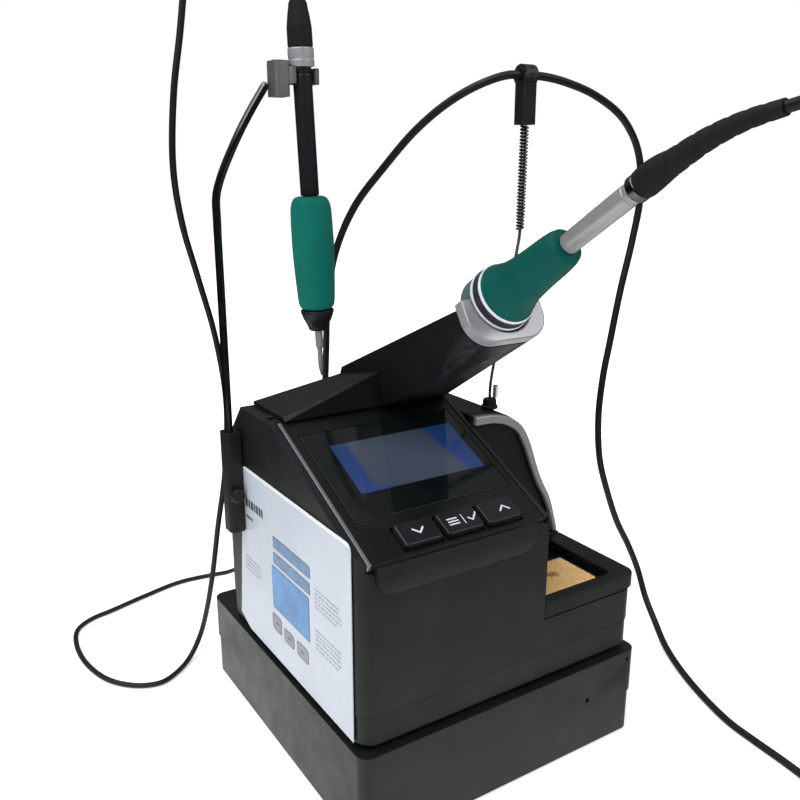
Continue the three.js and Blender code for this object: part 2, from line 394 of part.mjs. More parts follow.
// ---------------------------------------------------------------- tray, sponge and pod on the right
{
  const x0 = TOWER_R + GAP, x1 = 74.6, trayBack = -23.4;
  const outer = rbox(x0 - 10, x1, UNIT_F, 10, TRAY_SEAM + GAP / 2, TRAY_TOP, 6, 5).intersect(box(x0, x1 + 1, UNIT_F - 1, trayBack, TRAY_SEAM, TRAY_TOP + 1));
  const pocket = rbox(x0 + 2.4, x1 - 11.2, UNIT_F + 6.6, trayBack - 2.4, TRAY_SEAM + GAP / 2 + 1.6, TRAY_TOP + 2, 3, 4);
  add('tip_tray', outer.subtract(pocket), 0x0d0e10, 0.5, 0.0);
  add('sponge', rbox(x0 + 6.2, x0 + 40.2, -66.5, -41, TRAY_SEAM + 2.1, TRAY_SEAM + 5.6, 2, 3), 0xf5c886, 0.95, 0.0);

  const profile = [[x0, 81.8], [x0, 152], [30, 151.2], [39, 149], [47.3, 143.4], [52.5, 135], [58, 121], [61.7, 112.7], [67.7, 101.7], [71, 92], [74.2, 81.8], [74.2, TRAY_SEAM + GAP / 2], [x0, TRAY_SEAM + GAP / 2]].reverse();
  const inner = [[x0 + 2.4, 60], [x0 + 2.4, 148.6], [29, 148.4], [37.6, 146.4], [45, 141.6], [49.8, 134], [55.6, 120], [59.4, 111.6], [65.4, 100.6], [68.6, 91.4], [71.6, 82], [71.6, 60]].reverse();
  let pod = alongY(profile.reverse(), -19.9, UNIT_B).subtract(alongY(inner.reverse(), -17, UNIT_B - WALL));
  // the sill behind the tray carries the band's lower end
  pod = pod.add(box(x0, 74.2, trayBack + GAP, -19.5, TRAY_SEAM + GAP / 2, 81.9));
  add('pod_housing', pod, 0x101214, 0.5, 0.0);
  // silver band that follows the pod's front edge
  const band = [[x0 + 0.4, 151.6], [30, 150.9], [38.8, 148.6], [47, 143], [52.2, 134.8], [57.7, 120.8], [61.4, 112.5], [67.4, 101.5], [70.7, 91.8], [73.4, 82.4]];
  const bandIn = [[70.2, 82.4], [67.9, 91], [64.4, 100.2], [58.3, 111], [54.4, 119.6], [48.6, 133], [44.2, 140.2], [37, 144.8], [29.4, 146.8], [x0 + 0.4, 147.2]];
  add('pod_band', alongY([...band, ...bandIn].reverse(), -23.1, -20.2), 0xc4c5cb, 0.25, 0.85);
}

// ---------------------------------------------------------------- cable arm
{
  const p = new THREE.Vector3(34.5, -13, 0);
  add('arm_socket', turned([[0, 151.35], [4, 151.35], [4, 152.8], [3.2, 152.8], [3.2, 156], [0, 156]], p, Z, 12), 0x0f1011, 0.5, 0.1);
  const bend = [[34.5, 156.3, 0.95], [34.7, 163, 0.95], [38.3, 182, 0.95], [43.8, 206, 0.95], [48.6, 228, 0.95], [49.2, 232, 0.95], [49.25, 234.5, 2.1], [49.8, 279.7, 2.1]];
  add('arm_spring', taper(bend.map(b => new THREE.Vector3(b[0], -13, b[1])), bend.map(b => b[2]), 10), 0x6c6e70, 0.35, 0.85);
  let clip = rbox(46, 53.4, -16.6, -9.4, 280, 297.4, 1.2, 3).add(ring(2.35, 4.6, -3.4, 3.4, new THREE.Vector3(49.6, -13, 300.7), X, 16));
  clip = clip.subtract(rod(2.35, -8, 8, new THREE.Vector3(49.6, -13, 300.7), X, 16));
  add('arm_clip', clip, 0x0d0e0f, 0.5, 0.0);
}

// ---------------------------------------------------------------- rear sockets, plugs and cables
{
  const places = [['left', -44], ['right', -6]];
  for (const [side, x] of places) {
    const o = new THREE.Vector3(x, UNIT_B, 78);
    add('socket_' + side, turned([[4.6, -12], [7, -12], [7, 0.3], [9, 0.3], [9, 2.4], [4.6, 2.4], [4.6, -12]], o, Y, 20), 0x9a9ca0, 0.35, 0.8);
    add('plug_' + side, turned([[0, -8], [4.3, -8], [4.3, 2.7], [7.2, 2.7], [7.2, 14], [5, 18], [3.2, 30], [0, 30]], o, Y, 18), 0x141516, 0.5, 0.1);
  }
}
const LEFT_UP = [[-45.16, 20, 348.15], [-45.5, 20.2, 356], [-47.6, 21.4, 367], [-54, 24.5, 377], [-63.5, 29, 381.5], [-72.5, 33.5, 377], [-78.5, 37, 366], [-81.3, 39, 352], [-83, 40.2, 338]];
const LEFT_DOWN = [[-83.04, 40.23, 337.7], [-86.4, 41.2, 315], [-90.4, 42.5, 291], [-91.6, 46, 262], [-87, 53, 238], [-79.5, 59, 214], [-71, 64, 184], [-66, 68, 150], [-66.5, 74, 112], [-69.6, 80.5, 80], [-72, 87, 50], [-74.3, 95, 24], [-77.5, 98.5, 9], [-85, 93.5, 1.6], [-95, 84.5, 0.5], [-106, 79, 0.45], [-117, 82.5, 0.45], [-128, 94.5, 0.45], [-134.6, 114.6, 0.45], [-135.6, 139, 0.45], [-131, 157, 0.45], [-121.5, 165, 0.45], [-108, 169, 0.45], [-86, 176, 0.45], [-62, 182, 0.45], [-43, 180.5, 0.6], [-32, 171, 4.5], [-29.5, 155, 16], [-33, 138, 36], [-39.5, 120, 60], [-43.2, 104, 74.5], [-44, 95, 77.8], [-44, 87.9, 78]];
const RIGHT_OUT = [[0.05, -175.3, 278.07], [0.6, -183, 279.6], [3.5, -192, 279.2], [10, -199.5, 274.5], [19.5, -204, 264], [30, -205, 246], [41, -203.5, 222], [51, -200.5, 193], [61, -196.5, 160], [71, -191.5, 124], [81, -186, 88], [90, -180, 54], [98, -173.5, 26], [104, -166.5, 9], [109, -157, 1.8], [112.4, -146, 0.7], [113.9, -134, 0.7], [115, -120, 0.7]];
const RIGHT_BACK = [[115.03, -119.7, 0.7], [116.8, -104, 0.7], [121.4, -88, 0.7], [128, -71, 0.7], [136, -54.5, 0.7], [145, -39, 1.2], [153, -25, 5.5], [157.5, -12.5, 15], [157.5, -5, 30], [151.5, -1.5, 46], [142.5, 0, 62], [133, 0, 82], [124.5, 0, 105], [121.5, 0, 130], [123, 0, 152], [126.7, 0, 172], [131.7, 0, 198], [138, 0, 224], [141, -0.5, 246], [136, -2, 268], [120, -5.5, 284], [97, -9, 294], [74, -12, 299], [60, -12.9, 300.6], [49.6, -13, 300.7], [39, -12.6, 300.2], [29, -7, 296.5], [21, 5, 289.5], [13.5, 20, 278], [6.6, 36, 262], [0, 54, 242.5], [-3.5, 68, 219], [-3.2, 78, 192], [-0.5, 86, 165], [2, 94, 140], [2, 102.5, 116], [-1.5, 107, 97], [-4.8, 105, 85.5], [-5.9, 99.5, 79.6], [-6, 94.5, 78.1], [-6, 87.9, 78]];
add('cable_left_upper', tube(LEFT_UP, CORD_L_R, 8, 24), 0x0d0d0e, 0.6, 0.0);
add('cable_left_lower', tube(LEFT_DOWN, CORD_L_R, 8, 80), 0x0d0d0e, 0.6, 0.0);
add('cable_right_outer', tube(RIGHT_OUT, CORD_R_R, 8, 60), 0x0d0d0e, 0.6, 0.0);
add('cable_right_inner', tube(RIGHT_BACK, CORD_R_R, 8, 80), 0x0d0d0e, 0.6, 0.0);

export default station;
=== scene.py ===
import json
import math
import random

import bmesh
import bpy
from mathutils import Matrix, Vector


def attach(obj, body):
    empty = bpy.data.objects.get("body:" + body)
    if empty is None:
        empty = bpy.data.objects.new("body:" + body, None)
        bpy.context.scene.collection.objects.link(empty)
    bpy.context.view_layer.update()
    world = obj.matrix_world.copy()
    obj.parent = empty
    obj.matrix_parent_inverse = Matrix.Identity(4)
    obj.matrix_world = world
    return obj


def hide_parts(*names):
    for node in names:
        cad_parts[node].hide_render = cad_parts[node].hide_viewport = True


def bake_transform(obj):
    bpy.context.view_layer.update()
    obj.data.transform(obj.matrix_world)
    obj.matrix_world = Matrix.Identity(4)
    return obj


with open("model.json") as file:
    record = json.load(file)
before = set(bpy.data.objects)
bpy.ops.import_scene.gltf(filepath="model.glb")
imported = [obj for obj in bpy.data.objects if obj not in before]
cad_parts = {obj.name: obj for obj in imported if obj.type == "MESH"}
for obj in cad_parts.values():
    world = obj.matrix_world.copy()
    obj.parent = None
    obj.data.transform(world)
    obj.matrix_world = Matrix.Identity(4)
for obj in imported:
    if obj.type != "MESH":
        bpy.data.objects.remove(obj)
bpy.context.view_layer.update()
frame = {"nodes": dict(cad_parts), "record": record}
NODES = frame["nodes"]
random.seed(11)

# ------------------------------------------------------------------ units: millimetres of the station, moved to the shared frame
MM = 0.001
SHIFT = Vector((3.2, 47.06, 1.2))


def P(x, y, z):
    return (Vector((x, y, z)) + SHIFT) * MM


def V(v):
    return (Vector(v) + SHIFT) * MM


# ------------------------------------------------------------------ camera
cam_data = bpy.data.cameras.new("camera")
camera = bpy.data.objects.new("camera", cam_data)
bpy.context.scene.collection.objects.link(camera)
right, up, forward = Vector((0.8425, -0.5388, 0.0)), Vector((0.1453, 0.2271, 0.9630)), Vector((0.5188, 0.8113, -0.2696))
back = -forward
camera.matrix_world = Matrix((
    (right.x, up.x, back.x, -0.20787),
    (right.y, up.y, back.y, -0.27089),
    (right.z, up.z, back.z, 0.26534),
    (0, 0, 0, 1),
))
cam_data.lens = 38.28
cam_data.sensor_width = 36
cam_data.clip_start = 0.01
cam_data.clip_end = 20
cam_data.dof.use_dof = False
bpy.context.scene.camera = camera
bpy.context.scene.view_settings.view_transform = "Standard"
bpy.context.scene.view_settings.look = "None"


# ------------------------------------------------------------------ material nodes
class Mat:
    """A procedural material: a Principled shader with noise in its colour, roughness and bump."""

    def __init__(self, name):
        self.m = bpy.data.materials.new(name)
        self.m.use_nodes = True
        self.t = self.m.node_tree
        self.t.nodes.clear()
        self.out = self.t.nodes.new("ShaderNodeOutputMaterial")
        self.b = self.t.nodes.new("ShaderNodeBsdfPrincipled")
        self.t.links.new(self.b.outputs[0], self.out.inputs[0])
        self.tc = self.t.nodes.new("ShaderNodeTexCoord")
        self.vec = self.tc.outputs["Object"]

    def set(self, **kw):
        for k, v in kw.items():
            self.b.inputs[k.replace("_", " ")].default_value = v
        return self

    def link(self, a, b):
        self.t.links.new(a, b)

    def noise(self, scale, detail=3.0, rough=0.55, vec=None):
        n = self.t.nodes.new("ShaderNodeTexNoise")
        n.inputs["Scale"].default_value = scale
        n.inputs["Detail"].default_value = detail
        n.inputs["Roughness"].default_value = rough
        self.link(vec or self.vec, n.inputs["Vector"])
        return n.outputs["Fac"]

    def voronoi(self, scale, feature="F1", vec=None):
        n = self.t.nodes.new("ShaderNodeTexVoronoi")
        n.feature = feature
        n.inputs["Scale"].default_value = scale
        self.link(vec or self.vec, n.inputs["Vector"])
        return n.outputs["Distance"]

    def wave(self, scale, direction="Z", distortion=0.0, vec=None, profile="SIN"):
        n = self.t.nodes.new("ShaderNodeTexWave")
        n.bands_direction = direction
        n.wave_profile = profile
        n.inputs["Scale"].default_value = scale
        n.inputs["Distortion"].default_value = distortion
        self.link(vec or self.vec, n.inputs["Vector"])
        return n.outputs["Fac"]

    def mapping(self, rot=(0, 0, 0), scale=(1, 1, 1), loc=(0, 0, 0), vec=None):
        n = self.t.nodes.new("ShaderNodeMapping")
        n.inputs["Rotation"].default_value = rot
        n.inputs["Scale"].default_value = scale
        n.inputs["Location"].default_value = loc
        self.link(vec or self.vec, n.inputs["Vector"])
        return n.outputs["Vector"]

    def xyz(self, vec=None):
        n = self.t.nodes.new("ShaderNodeSeparateXYZ")
        self.link(vec or self.vec, n.inputs[0])
        return n.outputs

    def uv(self):
        return self.tc.outputs["UV"]

    def ramp(self, fac, stops, mode="LINEAR"):
        n = self.t.nodes.new("ShaderNodeValToRGB")
        e = n.color_ramp.elements
        n.color_ramp.interpolation = mode
        while len(e) < len(stops):
            e.new(0.5)
        for i, (p, c) in enumerate(stops):
            e[i].position = p
            e[i].color = (c, c, c, 1) if isinstance(c, (int, float)) else (*c, 1)
        self.link(fac, n.inputs[0])
        return n.outputs["Color"]

    def mix(self, fac, a, b, mode="MIX"):
        n = self.t.nodes.new("ShaderNodeMix")
        n.data_type = "RGBA"
        n.blend_type = mode
        for sock, v in ((n.inputs[0], fac), (n.inputs[6], a), (n.inputs[7], b)):
            if isinstance(v, bpy.types.NodeSocket):
                self.link(v, sock)
            elif isinstance(v, (int, float)):
                sock.default_value = v
            else:
                sock.default_value = (*v, 1)
        return n.outputs[2]

    def math(self, op, a, b=0.0):
        n = self.t.nodes.new("ShaderNodeMath")
        n.operation = op
        n.use_clamp = op in ("MULTIPLY", "ADD", "SUBTRACT", "MAXIMUM", "MINIMUM")
        for sock, v in ((n.inputs[0], a), (n.inputs[1], b)):
            if isinstance(v, bpy.types.NodeSocket):
                self.link(v, sock)
            else:
                sock.default_value = v
        return n.outputs[0]

    def smooth(self, v, lo, hi):
        n = self.t.nodes.new("ShaderNodeMapRange")
        n.interpolation_type = "SMOOTHSTEP"
        n.inputs["From Min"].default_value = lo
        n.inputs["From Max"].default_value = hi
        self.link(v, n.inputs["Value"])
        return n.outputs["Result"]

    def bump(self, height, strength, distance, normal=None):
        n = self.t.nodes.new("ShaderNodeBump")
        n.inputs["Strength"].default_value = strength
        n.inputs["Distance"].default_value = distance
        self.link(height, n.inputs["Height"])
        if normal is not None:
            self.link(normal, n.inputs["Normal"])
        self.link(n.outputs["Normal"], self.b.inputs["Normal"])
        return n.outputs["Normal"]

    def colour(self, sock):
        self.link(sock, self.b.inputs["Base Color"])

    def rough(self, sock):
        self.link(sock, self.b.inputs["Roughness"])

    def edges(self, lo=0.53, hi=0.62):
        g = self.t.nodes.new("ShaderNodeNewGeometry")
        return self.smooth(g.outputs["Pointiness"], lo, hi)


def scaled(c, k):
    return tuple(min(1.0, max(0.0, v * k)) for v in c)


def moulded(name, col, rough=0.5, grain=2600, grain_bump=0.22, spread=0.25, spec=0.3, dust=0.10, wear=0.5, metal=0.0, coat=0.0):
    """Moulded plastic or rubber: mottled colour, fine spark-eroded grain, faint dust and edge wear."""
    m = Mat(name)
    m.set(Metallic=metal, Specular_IOR_Level=spec)
    if coat:
        m.set(Coat_Weight=coat, Coat_Roughness=0.12)
    big = m.ramp(m.noise(38, 4), [(0.3, scaled(col, 1 - spread)), (0.7, scaled(col, 1 + spread))])
    light = tuple(0.5 * c + 0.06 for c in col)
    specks = m.ramp(m.noise(1500, 2, 0.7), [(0.66, 0.0), (0.76, 1.0)])
    c = m.mix(m.math("MULTIPLY", specks, dust), big, light)
    worn = m.math("MULTIPLY", m.edges(), m.math("MULTIPLY", m.ramp(m.noise(260, 4), [(0.42, 0.0), (0.66, 1.0)]), wear))
    m.colour(m.mix(worn, c, tuple(0.75 * v + 0.07 for v in col)))
    m.rough(m.ramp(m.noise(90, 5), [(0.25, max(0.03, rough - 0.07)), (0.75, min(1, rough + 0.08))]))
    n = m.bump(m.noise(grain, 2, 0.6), grain_bump, 0.00012)
    m.bump(m.noise(60, 2), 0.05, 0.0006, n)
    return m.m


def metal(name, col, rough=0.3, stretch=(1, 1, 1), scratch=900, bump=0.06, spread=0.12, metallic=1.0, spec=0.5):
    """Plated or painted metal with fine drawn lines, fingerprints and small scratches."""
    m = Mat(name)
    m.set(Metallic=metallic, Specular_IOR_Level=spec)
    v = m.mapping(scale=stretch)
    lines = m.noise(scratch, 4, 0.7, vec=v)
    prints = m.noise(55, 5, 0.6)
    base = m.ramp(lines, [(0.3, scaled(col, 1 - spread)), (0.7, scaled(col, 1 + spread * 0.5))])
    m.colour(m.mix(m.ramp(prints, [(0.5, 0.0), (0.75, 0.28)]), base, scaled(col, 0.72)))
    m.rough(m.ramp(prints, [(0.25, max(0.02, rough - 0.06)), (0.8, rough + 0.12)]))
    m.bump(lines, bump, 0.0001)
    return m.m


MAT = {}
MAT["housing"] = moulded("housing_black", (0.011, 0.0125, 0.013), 0.40, spec=0.30, wear=0.35)
MAT["housing_plain"] = moulded("housing_apron", (0.011, 0.0125, 0.013), 0.40, spec=0.30, wear=0.0)
MAT["base"] = moulded("supply_black", (0.011, 0.0125, 0.0125), 0.40, spec=0.34, wear=0.4, grain=2100)
MAT["fairing"] = moulded("rest_black", (0.008, 0.009, 0.0095), 0.36, spec=0.28, wear=0.3)
MAT["panel"] = moulded("panel_black", (0.007, 0.0085, 0.0085), 0.34, grain=3200, grain_bump=0.08, spec=0.28, wear=0.0)
MAT["keycap"] = moulded("key_plastic", (0.010, 0.0115, 0.013), 0.36, grain=3000, grain_bump=0.15, spec=0.36, wear=0.25)
MAT["rubber"] = moulded("rubber_black", (0.008, 0.0085, 0.009), 0.7, grain=1800, grain_bump=0.35, spec=0.3, dust=0.2)
MAT["cable"] = moulded("cable_black", (0.006, 0.0065, 0.007), 0.5, grain=2400, grain_bump=0.12, spec=0.4, dust=0.06, wear=0.0)
MAT["nut"] = moulded("arm_nut", (0.009, 0.009, 0.0095), 0.45, spec=0.4, wear=0.5)
MAT["inner_plastic"] = moulded("inlet_plastic", (0.012, 0.012, 0.013), 0.5, spec=0.4)
MAT["steel_dark"] = metal("rod_steel", (0.16, 0.16, 0.165), 0.22, stretch=(1, 1, 0.03))
MAT["steel"] = metal("bright_steel", (0.42, 0.41, 0.40), 0.28, stretch=(1, 1, 0.05))


def painted(name, col, rough=0.3, metallic=0.35, spec=0.45):
    """Satin silver paint over plastic: fine metal flake, almost no relief, a few faint rubbed spots."""
    m = Mat(name)
    m.set(Metallic=metallic, Specular_IOR_Level=spec, Coat_Weight=0.15, Coat_Roughness=0.2)
    flake = m.ramp(m.noise(5200, 2, 0.7), [(0.35, scaled(col, 0.93)), (0.65, scaled(col, 1.05))])
    rubbed = m.ramp(m.noise(48, 4), [(0.6, 0.0), (0.85, 0.22)])
    m.colour(m.mix(rubbed, flake, scaled(col, 0.8)))
    m.rough(m.ramp(m.noise(70, 3), [(0.3, rough - 0.03), (0.7, rough + 0.05)]))
    m.bump(m.noise(4200, 2), 0.03, 0.00005)
    return m.m


MAT["silver"] = painted("silver_plastic", (0.37, 0.37, 0.385), 0.3, 0.35)
MAT["silver_trim"] = painted("trim_silver", (0.24, 0.245, 0.26), 0.28, 0.6)
MAT["tip_steel"] = painted("tip_steel", (0.50, 0.49, 0.47), 0.36, 0.6)
MAT["trim_dark"] = painted("trim_dark", (0.035, 0.037, 0.04), 0.25, 0.6)
MAT["clip_metal"] = metal("clip_metal", (0.33, 0.33, 0.34), 0.35, metallic=0.8, scratch=700, spread=0.15)
MAT["tube_black"] = moulded("tube_black", (0.010, 0.0105, 0.012), 0.33, grain=2800, grain_bump=0.05, spec=0.42, wear=0.2)
MAT["tube_grey"] = painted("tube_grey", (0.36, 0.37, 0.37), 0.32, 0.45)


def glass_black():
    m = Mat("display_glass_black")
    m.set(Specular_IOR_Level=0.3, Coat_Weight=0.08, Coat_Roughness=0.04)
    m.colour(m.ramp(m.noise(30, 4), [(0.3, (0.002, 0.005, 0.0055)), (0.7, (0.008, 0.0095, 0.010))]))
    m.rough(m.ramp(m.noise(75, 6), [(0.4, 0.05), (0.8, 0.16)]))
    m.bump(m.noise(18, 2), 0.03, 0.0004)
    return m.m


MAT["glass"] = glass_black()


def teal(name, base, light, dark, rough):
    """Soft-touch silicone grip: tone mottled at random, faint moulding texture and handling marks."""
    m = Mat(name)
    m.set(Specular_IOR_Level=0.14, Sheen_Weight=0.02, Sheen_Roughness=0.45)
    body = m.ramp(m.noise(26, 3), [(0.3, dark), (0.55, base), (0.8, light)])
    marks = m.ramp(m.noise(420, 5, 0.7), [(0.62, 0.0), (0.78, 0.22)])
    m.colour(m.mix(marks, body, scaled(dark, 0.6)))
    m.rough(m.ramp(m.noise(120, 4), [(0.3, rough - 0.07), (0.7, rough + 0.08)]))
    n = m.bump(m.noise(3000, 2, 0.6), 0.18, 0.0001)
    m.bump(m.noise(200, 3), 0.05, 0.0003, n)
    return m.m


MAT["teal"] = teal("teal_grip", (0.0, 0.142, 0.112), (0.0, 0.170, 0.134), (0.0, 0.118, 0.093), 0.62)
MAT["teal_dark"] = teal("teal_grip_dark", (0.0, 0.082, 0.068), (0.0, 0.104, 0.086), (0.0, 0.063, 0.053), 0.5)
MAT["teal_pale"] = teal("teal_grip_pale", (0.085, 0.165, 0.16), (0.12, 0.21, 0.20), (0.06, 0.13, 0.125), 0.45)


def plain_paint(name, col, rough=0.45, spread=0.12, scale=300, spec=0.35, emit=0.0):
    m = Mat(name)
    m.set(Specular_IOR_Level=spec)
    c = m.ramp(m.noise(scale, 4), [(0.3, scaled(col, 1 - spread)), (0.7, scaled(col, 1 + spread))])
    m.colour(c)
    if emit:
        m.link(c, m.b.inputs["Emission Color"])
        m.b.inputs["Emission Strength"].default_value = emit
    m.rough(m.ramp(m.noise(150, 4), [(0.3, rough - 0.06), (0.7, rough + 0.06)]))
    m.bump(m.noise(1800, 2), 0.08, 0.00005)
    return m.m


def circuit():
    m = Mat("circuit_green")
    m.set(Specular_IOR_Level=0.45, Coat_Weight=0.3)
    traces = m.ramp(m.voronoi(170, "DISTANCE_TO_EDGE"), [(0.02, 1.0), (0.05, 0.0)])
    base = m.ramp(m.noise(60, 3), [(0.3, (0.010, 0.060, 0.022)), (0.7, (0.016, 0.09, 0.034))])
    m.colour(m.mix(traces, base, (0.05, 0.19, 0.09)))
    m.rough(m.ramp(m.noise(200, 3), [(0.3, 0.3), (0.7, 0.45)]))
    m.bump(traces, 0.3, 0.0001)
    return m.m


def core():
    m = Mat("iron_core")
    m.set(Metallic=0.5)
    lam = m.wave(900, "X")
    m.colour(m.mix(m.noise(80, 3), m.ramp(lam, [(0.2, (0.10, 0.085, 0.04)), (0.8, (0.32, 0.27, 0.12))]), (0.35, 0.26, 0.08)))
    m.rough(m.ramp(m.noise(150, 3), [(0.3, 0.4), (0.7, 0.6)]))
    m.bump(lam, 0.4, 0.0002)
    return m.m


def display_blue():
    m = Mat("display_module_blue")
    m.colour(m.ramp(m.noise(60, 3), [(0.3, (0.012, 0.045, 0.19)), (0.7, (0.02, 0.07, 0.26))]))
    m.rough(m.ramp(m.noise(100, 3), [(0.3, 0.2), (0.7, 0.35)]))
    m.bump(m.wave(2200, "X"), 0.1, 0.00005)
    return m.m


MAT["circuit"], MAT["core"], MAT["module"] = circuit(), core(), display_blue()
HIDDEN = {
    "supply_board": "circuit", "supply_transformer": "core", "key_board": "circuit",
    "control_board": "circuit", "display_module": "module",
}
for node, key in HIDDEN.items():
    mesh = NODES[node].data
    while len(NODES[node].material_slots) < 1:
        mesh.materials.append(MAT[key])
    for s in NODES[node].material_slots:
        s.link = "OBJECT"
        s.material = MAT[key]

# ------------------------------------------------------------------ mesh helpers
record_nodes = {n["name"]: n for n in frame["record"].get("nodes", []) if isinstance(n, dict) and "name" in n}
BODY_OF = {}
for body_name, members in frame["record"].get("behaviour", {}).get("bodies", {}).items():
    for n in members:
        BODY_OF[n] = body_name


def link_object(name, mesh, mats):
    for m in mats:
        mesh.materials.append(m)
    o = bpy.data.objects.new(name, mesh)
    bpy.context.scene.collection.objects.link(o)
    return o


def finish_piece(o, body, replaced=()):
    if body:
        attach(o, body)
    if replaced:
        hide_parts(*replaced)
    return o


def from_bmesh(name, bm, mats, smooth=True, angle=None):
    bmesh.ops.recalc_face_normals(bm, faces=bm.faces)
    mesh = bpy.data.meshes.new(name)
    bm.to_mesh(mesh)
    bm.free()
    for f in mesh.polygons:
        f.use_smooth = smooth
    if angle is not None:
        mesh.set_sharp_from_angle(angle=math.radians(angle))
    return link_object(name, mesh, mats)


def add_bevel(o, width, segments=3, angle=32):
    b = o.modifiers.new("bevel", "BEVEL")
    b.width = width * MM
    b.segments = segments
    b.limit_method = "ANGLE"
    b.angle_limit = math.radians(angle)
    b.harden_normals = True
    b.use_clamp_overlap = True
    b.miter_outer = "MITER_ARC"
    return o


def refine(node, mats, width=0.6, segments=3, angle=32, name=None, dissolve=0.6, pick=None):
    """A detailed copy of a CAD piece: flat areas joined, every hard edge rounded."""
    src = NODES[node]
    bm = bmesh.new()
    bm.from_mesh(src.data)
    bmesh.ops.remove_doubles(bm, verts=bm.verts, dist=1e-6)
    if dissolve:
        bmesh.ops.dissolve_limit(bm, angle_limit=math.radians(dissolve), verts=bm.verts, edges=bm.edges)
    for f in bm.faces:
        f.material_index = 0 if pick is None else pick(f)
    o = from_bmesh(name or node + "_body", bm, mats if isinstance(mats, (list, tuple)) else [mats], angle=angle)
    add_bevel(o, width, segments, angle)
    return finish_piece(o, BODY_OF[node], [node])


def frame_axes(axis):
    a = Vector(axis).normalized()
    u = a.cross(Vector((1, 0, 0)) if abs(a.x) < 0.9 else Vector((0, 1, 0))).normalized()
    return a, u, a.cross(u)


def lathe_into(bm, profile, o, axis, seg=48, mat=0, wobble=None):
    """profile is (radius, height, material?) from one end to the other, in millimetres."""
    a, u, w = frame_axes(axis)
    o = Vector(o)
    rings = []
    for p in profile:
        r, h = p[0], p[1]
        c = o + a * h
        if r < 1e-4:
            rings.append([bm.verts.new(V(c))])
        else:
            ring = []
            for k in range(seg):
                t = 2 * math.pi * k / seg
                rr = r if wobble is None else r + wobble(t, h, r)
                ring.append(bm.verts.new(V(c + u * math.cos(t) * rr + w * math.sin(t) * rr)))
            rings.append(ring)
    closed = profile[0][0] > 1e-4 and tuple(profile[0][:2]) == tuple(profile[-1][:2])
    if closed:
        # a bored piece: the profile comes back to where it began, so there is no end face
        for v in rings[-1]:
            bm.verts.remove(v)
        rings[-1] = rings[0]
    for i in range(len(rings) - 1):
        p, q = rings[i], rings[i + 1]
        mi = profile[i + 1][2] if len(profile[i + 1]) > 2 else mat
        n = max(len(p), len(q))
        for k in range(n):
            j = (k + 1) % n
            if len(p) == 1 and len(q) == 1:
                continue
            if len(p) == 1:
                f = bm.faces.new((p[0], q[k], q[j]))
            elif len(q) == 1:
                f = bm.faces.new((p[k], q[0], p[j]))
            else:
                f = bm.faces.new((p[k], q[k], q[j], p[j]))
            f.material_index = mi
    if len(rings[0]) > 1 and not closed:
        bm.faces.new(rings[0]).material_index = mat
    if len(rings[-1]) > 1 and not closed:
        bm.faces.new(rings[-1]).material_index = profile[-1][2] if len(profile[-1]) > 2 else mat


def lathe(name, profile, o, axis, mats, body, replaced=(), seg=48, angle=40, wobble=None):
    bm = bmesh.new()
    lathe_into(bm, profile, o, axis, seg, 0, wobble)
    ob = from_bmesh(name, bm, mats, angle=angle)
    return finish_piece(ob, body, replaced)


def round_profile(pts, r=0.6, n=4):
    """Rounds the corners of an open (radius, height) profile."""
    out = [pts[0]]
    for i in range(1, len(pts) - 1):
        p0, p1, p2 = Vector(pts[i - 1][:2]), Vector(pts[i][:2]), Vector(pts[i + 1][:2])
        extra = pts[i][2:]
        a, b = p0 - p1, p2 - p1
        if a.length < 1e-6 or b.length < 1e-6:
            out.append(pts[i])
            continue
        k = min(r, a.length * 0.45, b.length * 0.45)
        q0, q1 = p1 + a.normalized() * k, p1 + b.normalized() * k
        for s in range(n + 1):
            t = s / n
            q = q0 * (1 - t) ** 2 + p1 * 2 * t * (1 - t) + q1 * t * t
            out.append((q.x, q.y, *extra))
    out.append(pts[-1])
    return out


def catmull(points, per=12):
    """Centripetal curve through the points, as dense points."""
    p = [Vector(q) for q in points]
    p = [p[0] * 2 - p[1]] + p + [p[-1] * 2 - p[-2]]
    out = []
    for i in range(1, len(p) - 2):
        p0, p1, p2, p3 = p[i - 1], p[i], p[i + 1], p[i + 2]
        d0, d1, d2 = (max(1e-4, (b - a).length_squared ** 0.25) for a, b in ((p0, p1), (p1, p2), (p2, p3)))
        t1 = ((p1 - p0) / d0 - (p2 - p0) / (d0 + d1) + (p2 - p1) / d1) * d1
        t2 = ((p2 - p1) / d1 - (p3 - p1) / (d1 + d2) + (p3 - p2) / d2) * d1
        for s in range(per + (1 if i == len(p) - 3 else 0)):
            t = s / per
            out.append(p1 + t1 * t + (p1 * -3 + p2 * 3 - t1 * 2 - t2) * t * t + (p1 * 2 - p2 * 2 + t1 + t2) * t ** 3)
    return out


def sweep_into(bm, pts, radius, sides=14, mat=0):
    """A round tube along dense points with turning-free rings; radius is a number or a function of 0..1."""
    pts = [Vector(p) for p in pts]
    n = len(pts)
    tangents = [(pts[min(i + 1, n - 1)] - pts[max(i - 1, 0)]).normalized() for i in range(n)]
    _, u, _ = frame_axes(tangents[0])
    rings = []
    for i in range(n):
        t = tangents[i]
        u = (u - t * u.dot(t)).normalized()
        w = t.cross(u)
        r = radius(i / (n - 1)) if callable(radius) else radius
        rings.append([bm.verts.new(V(pts[i] + u * math.cos(a) * r + w * math.sin(a) * r)) for a in (2 * math.pi * k / sides for k in range(sides))])
    for p, q in zip(rings, rings[1:]):
        for k in range(sides):
            j = (k + 1) % sides
            bm.faces.new((p[k], p[j], q[j], q[k])).material_index = mat
    bm.faces.new(rings[0]).material_index = mat
    bm.faces.new(rings[-1]).material_index = mat


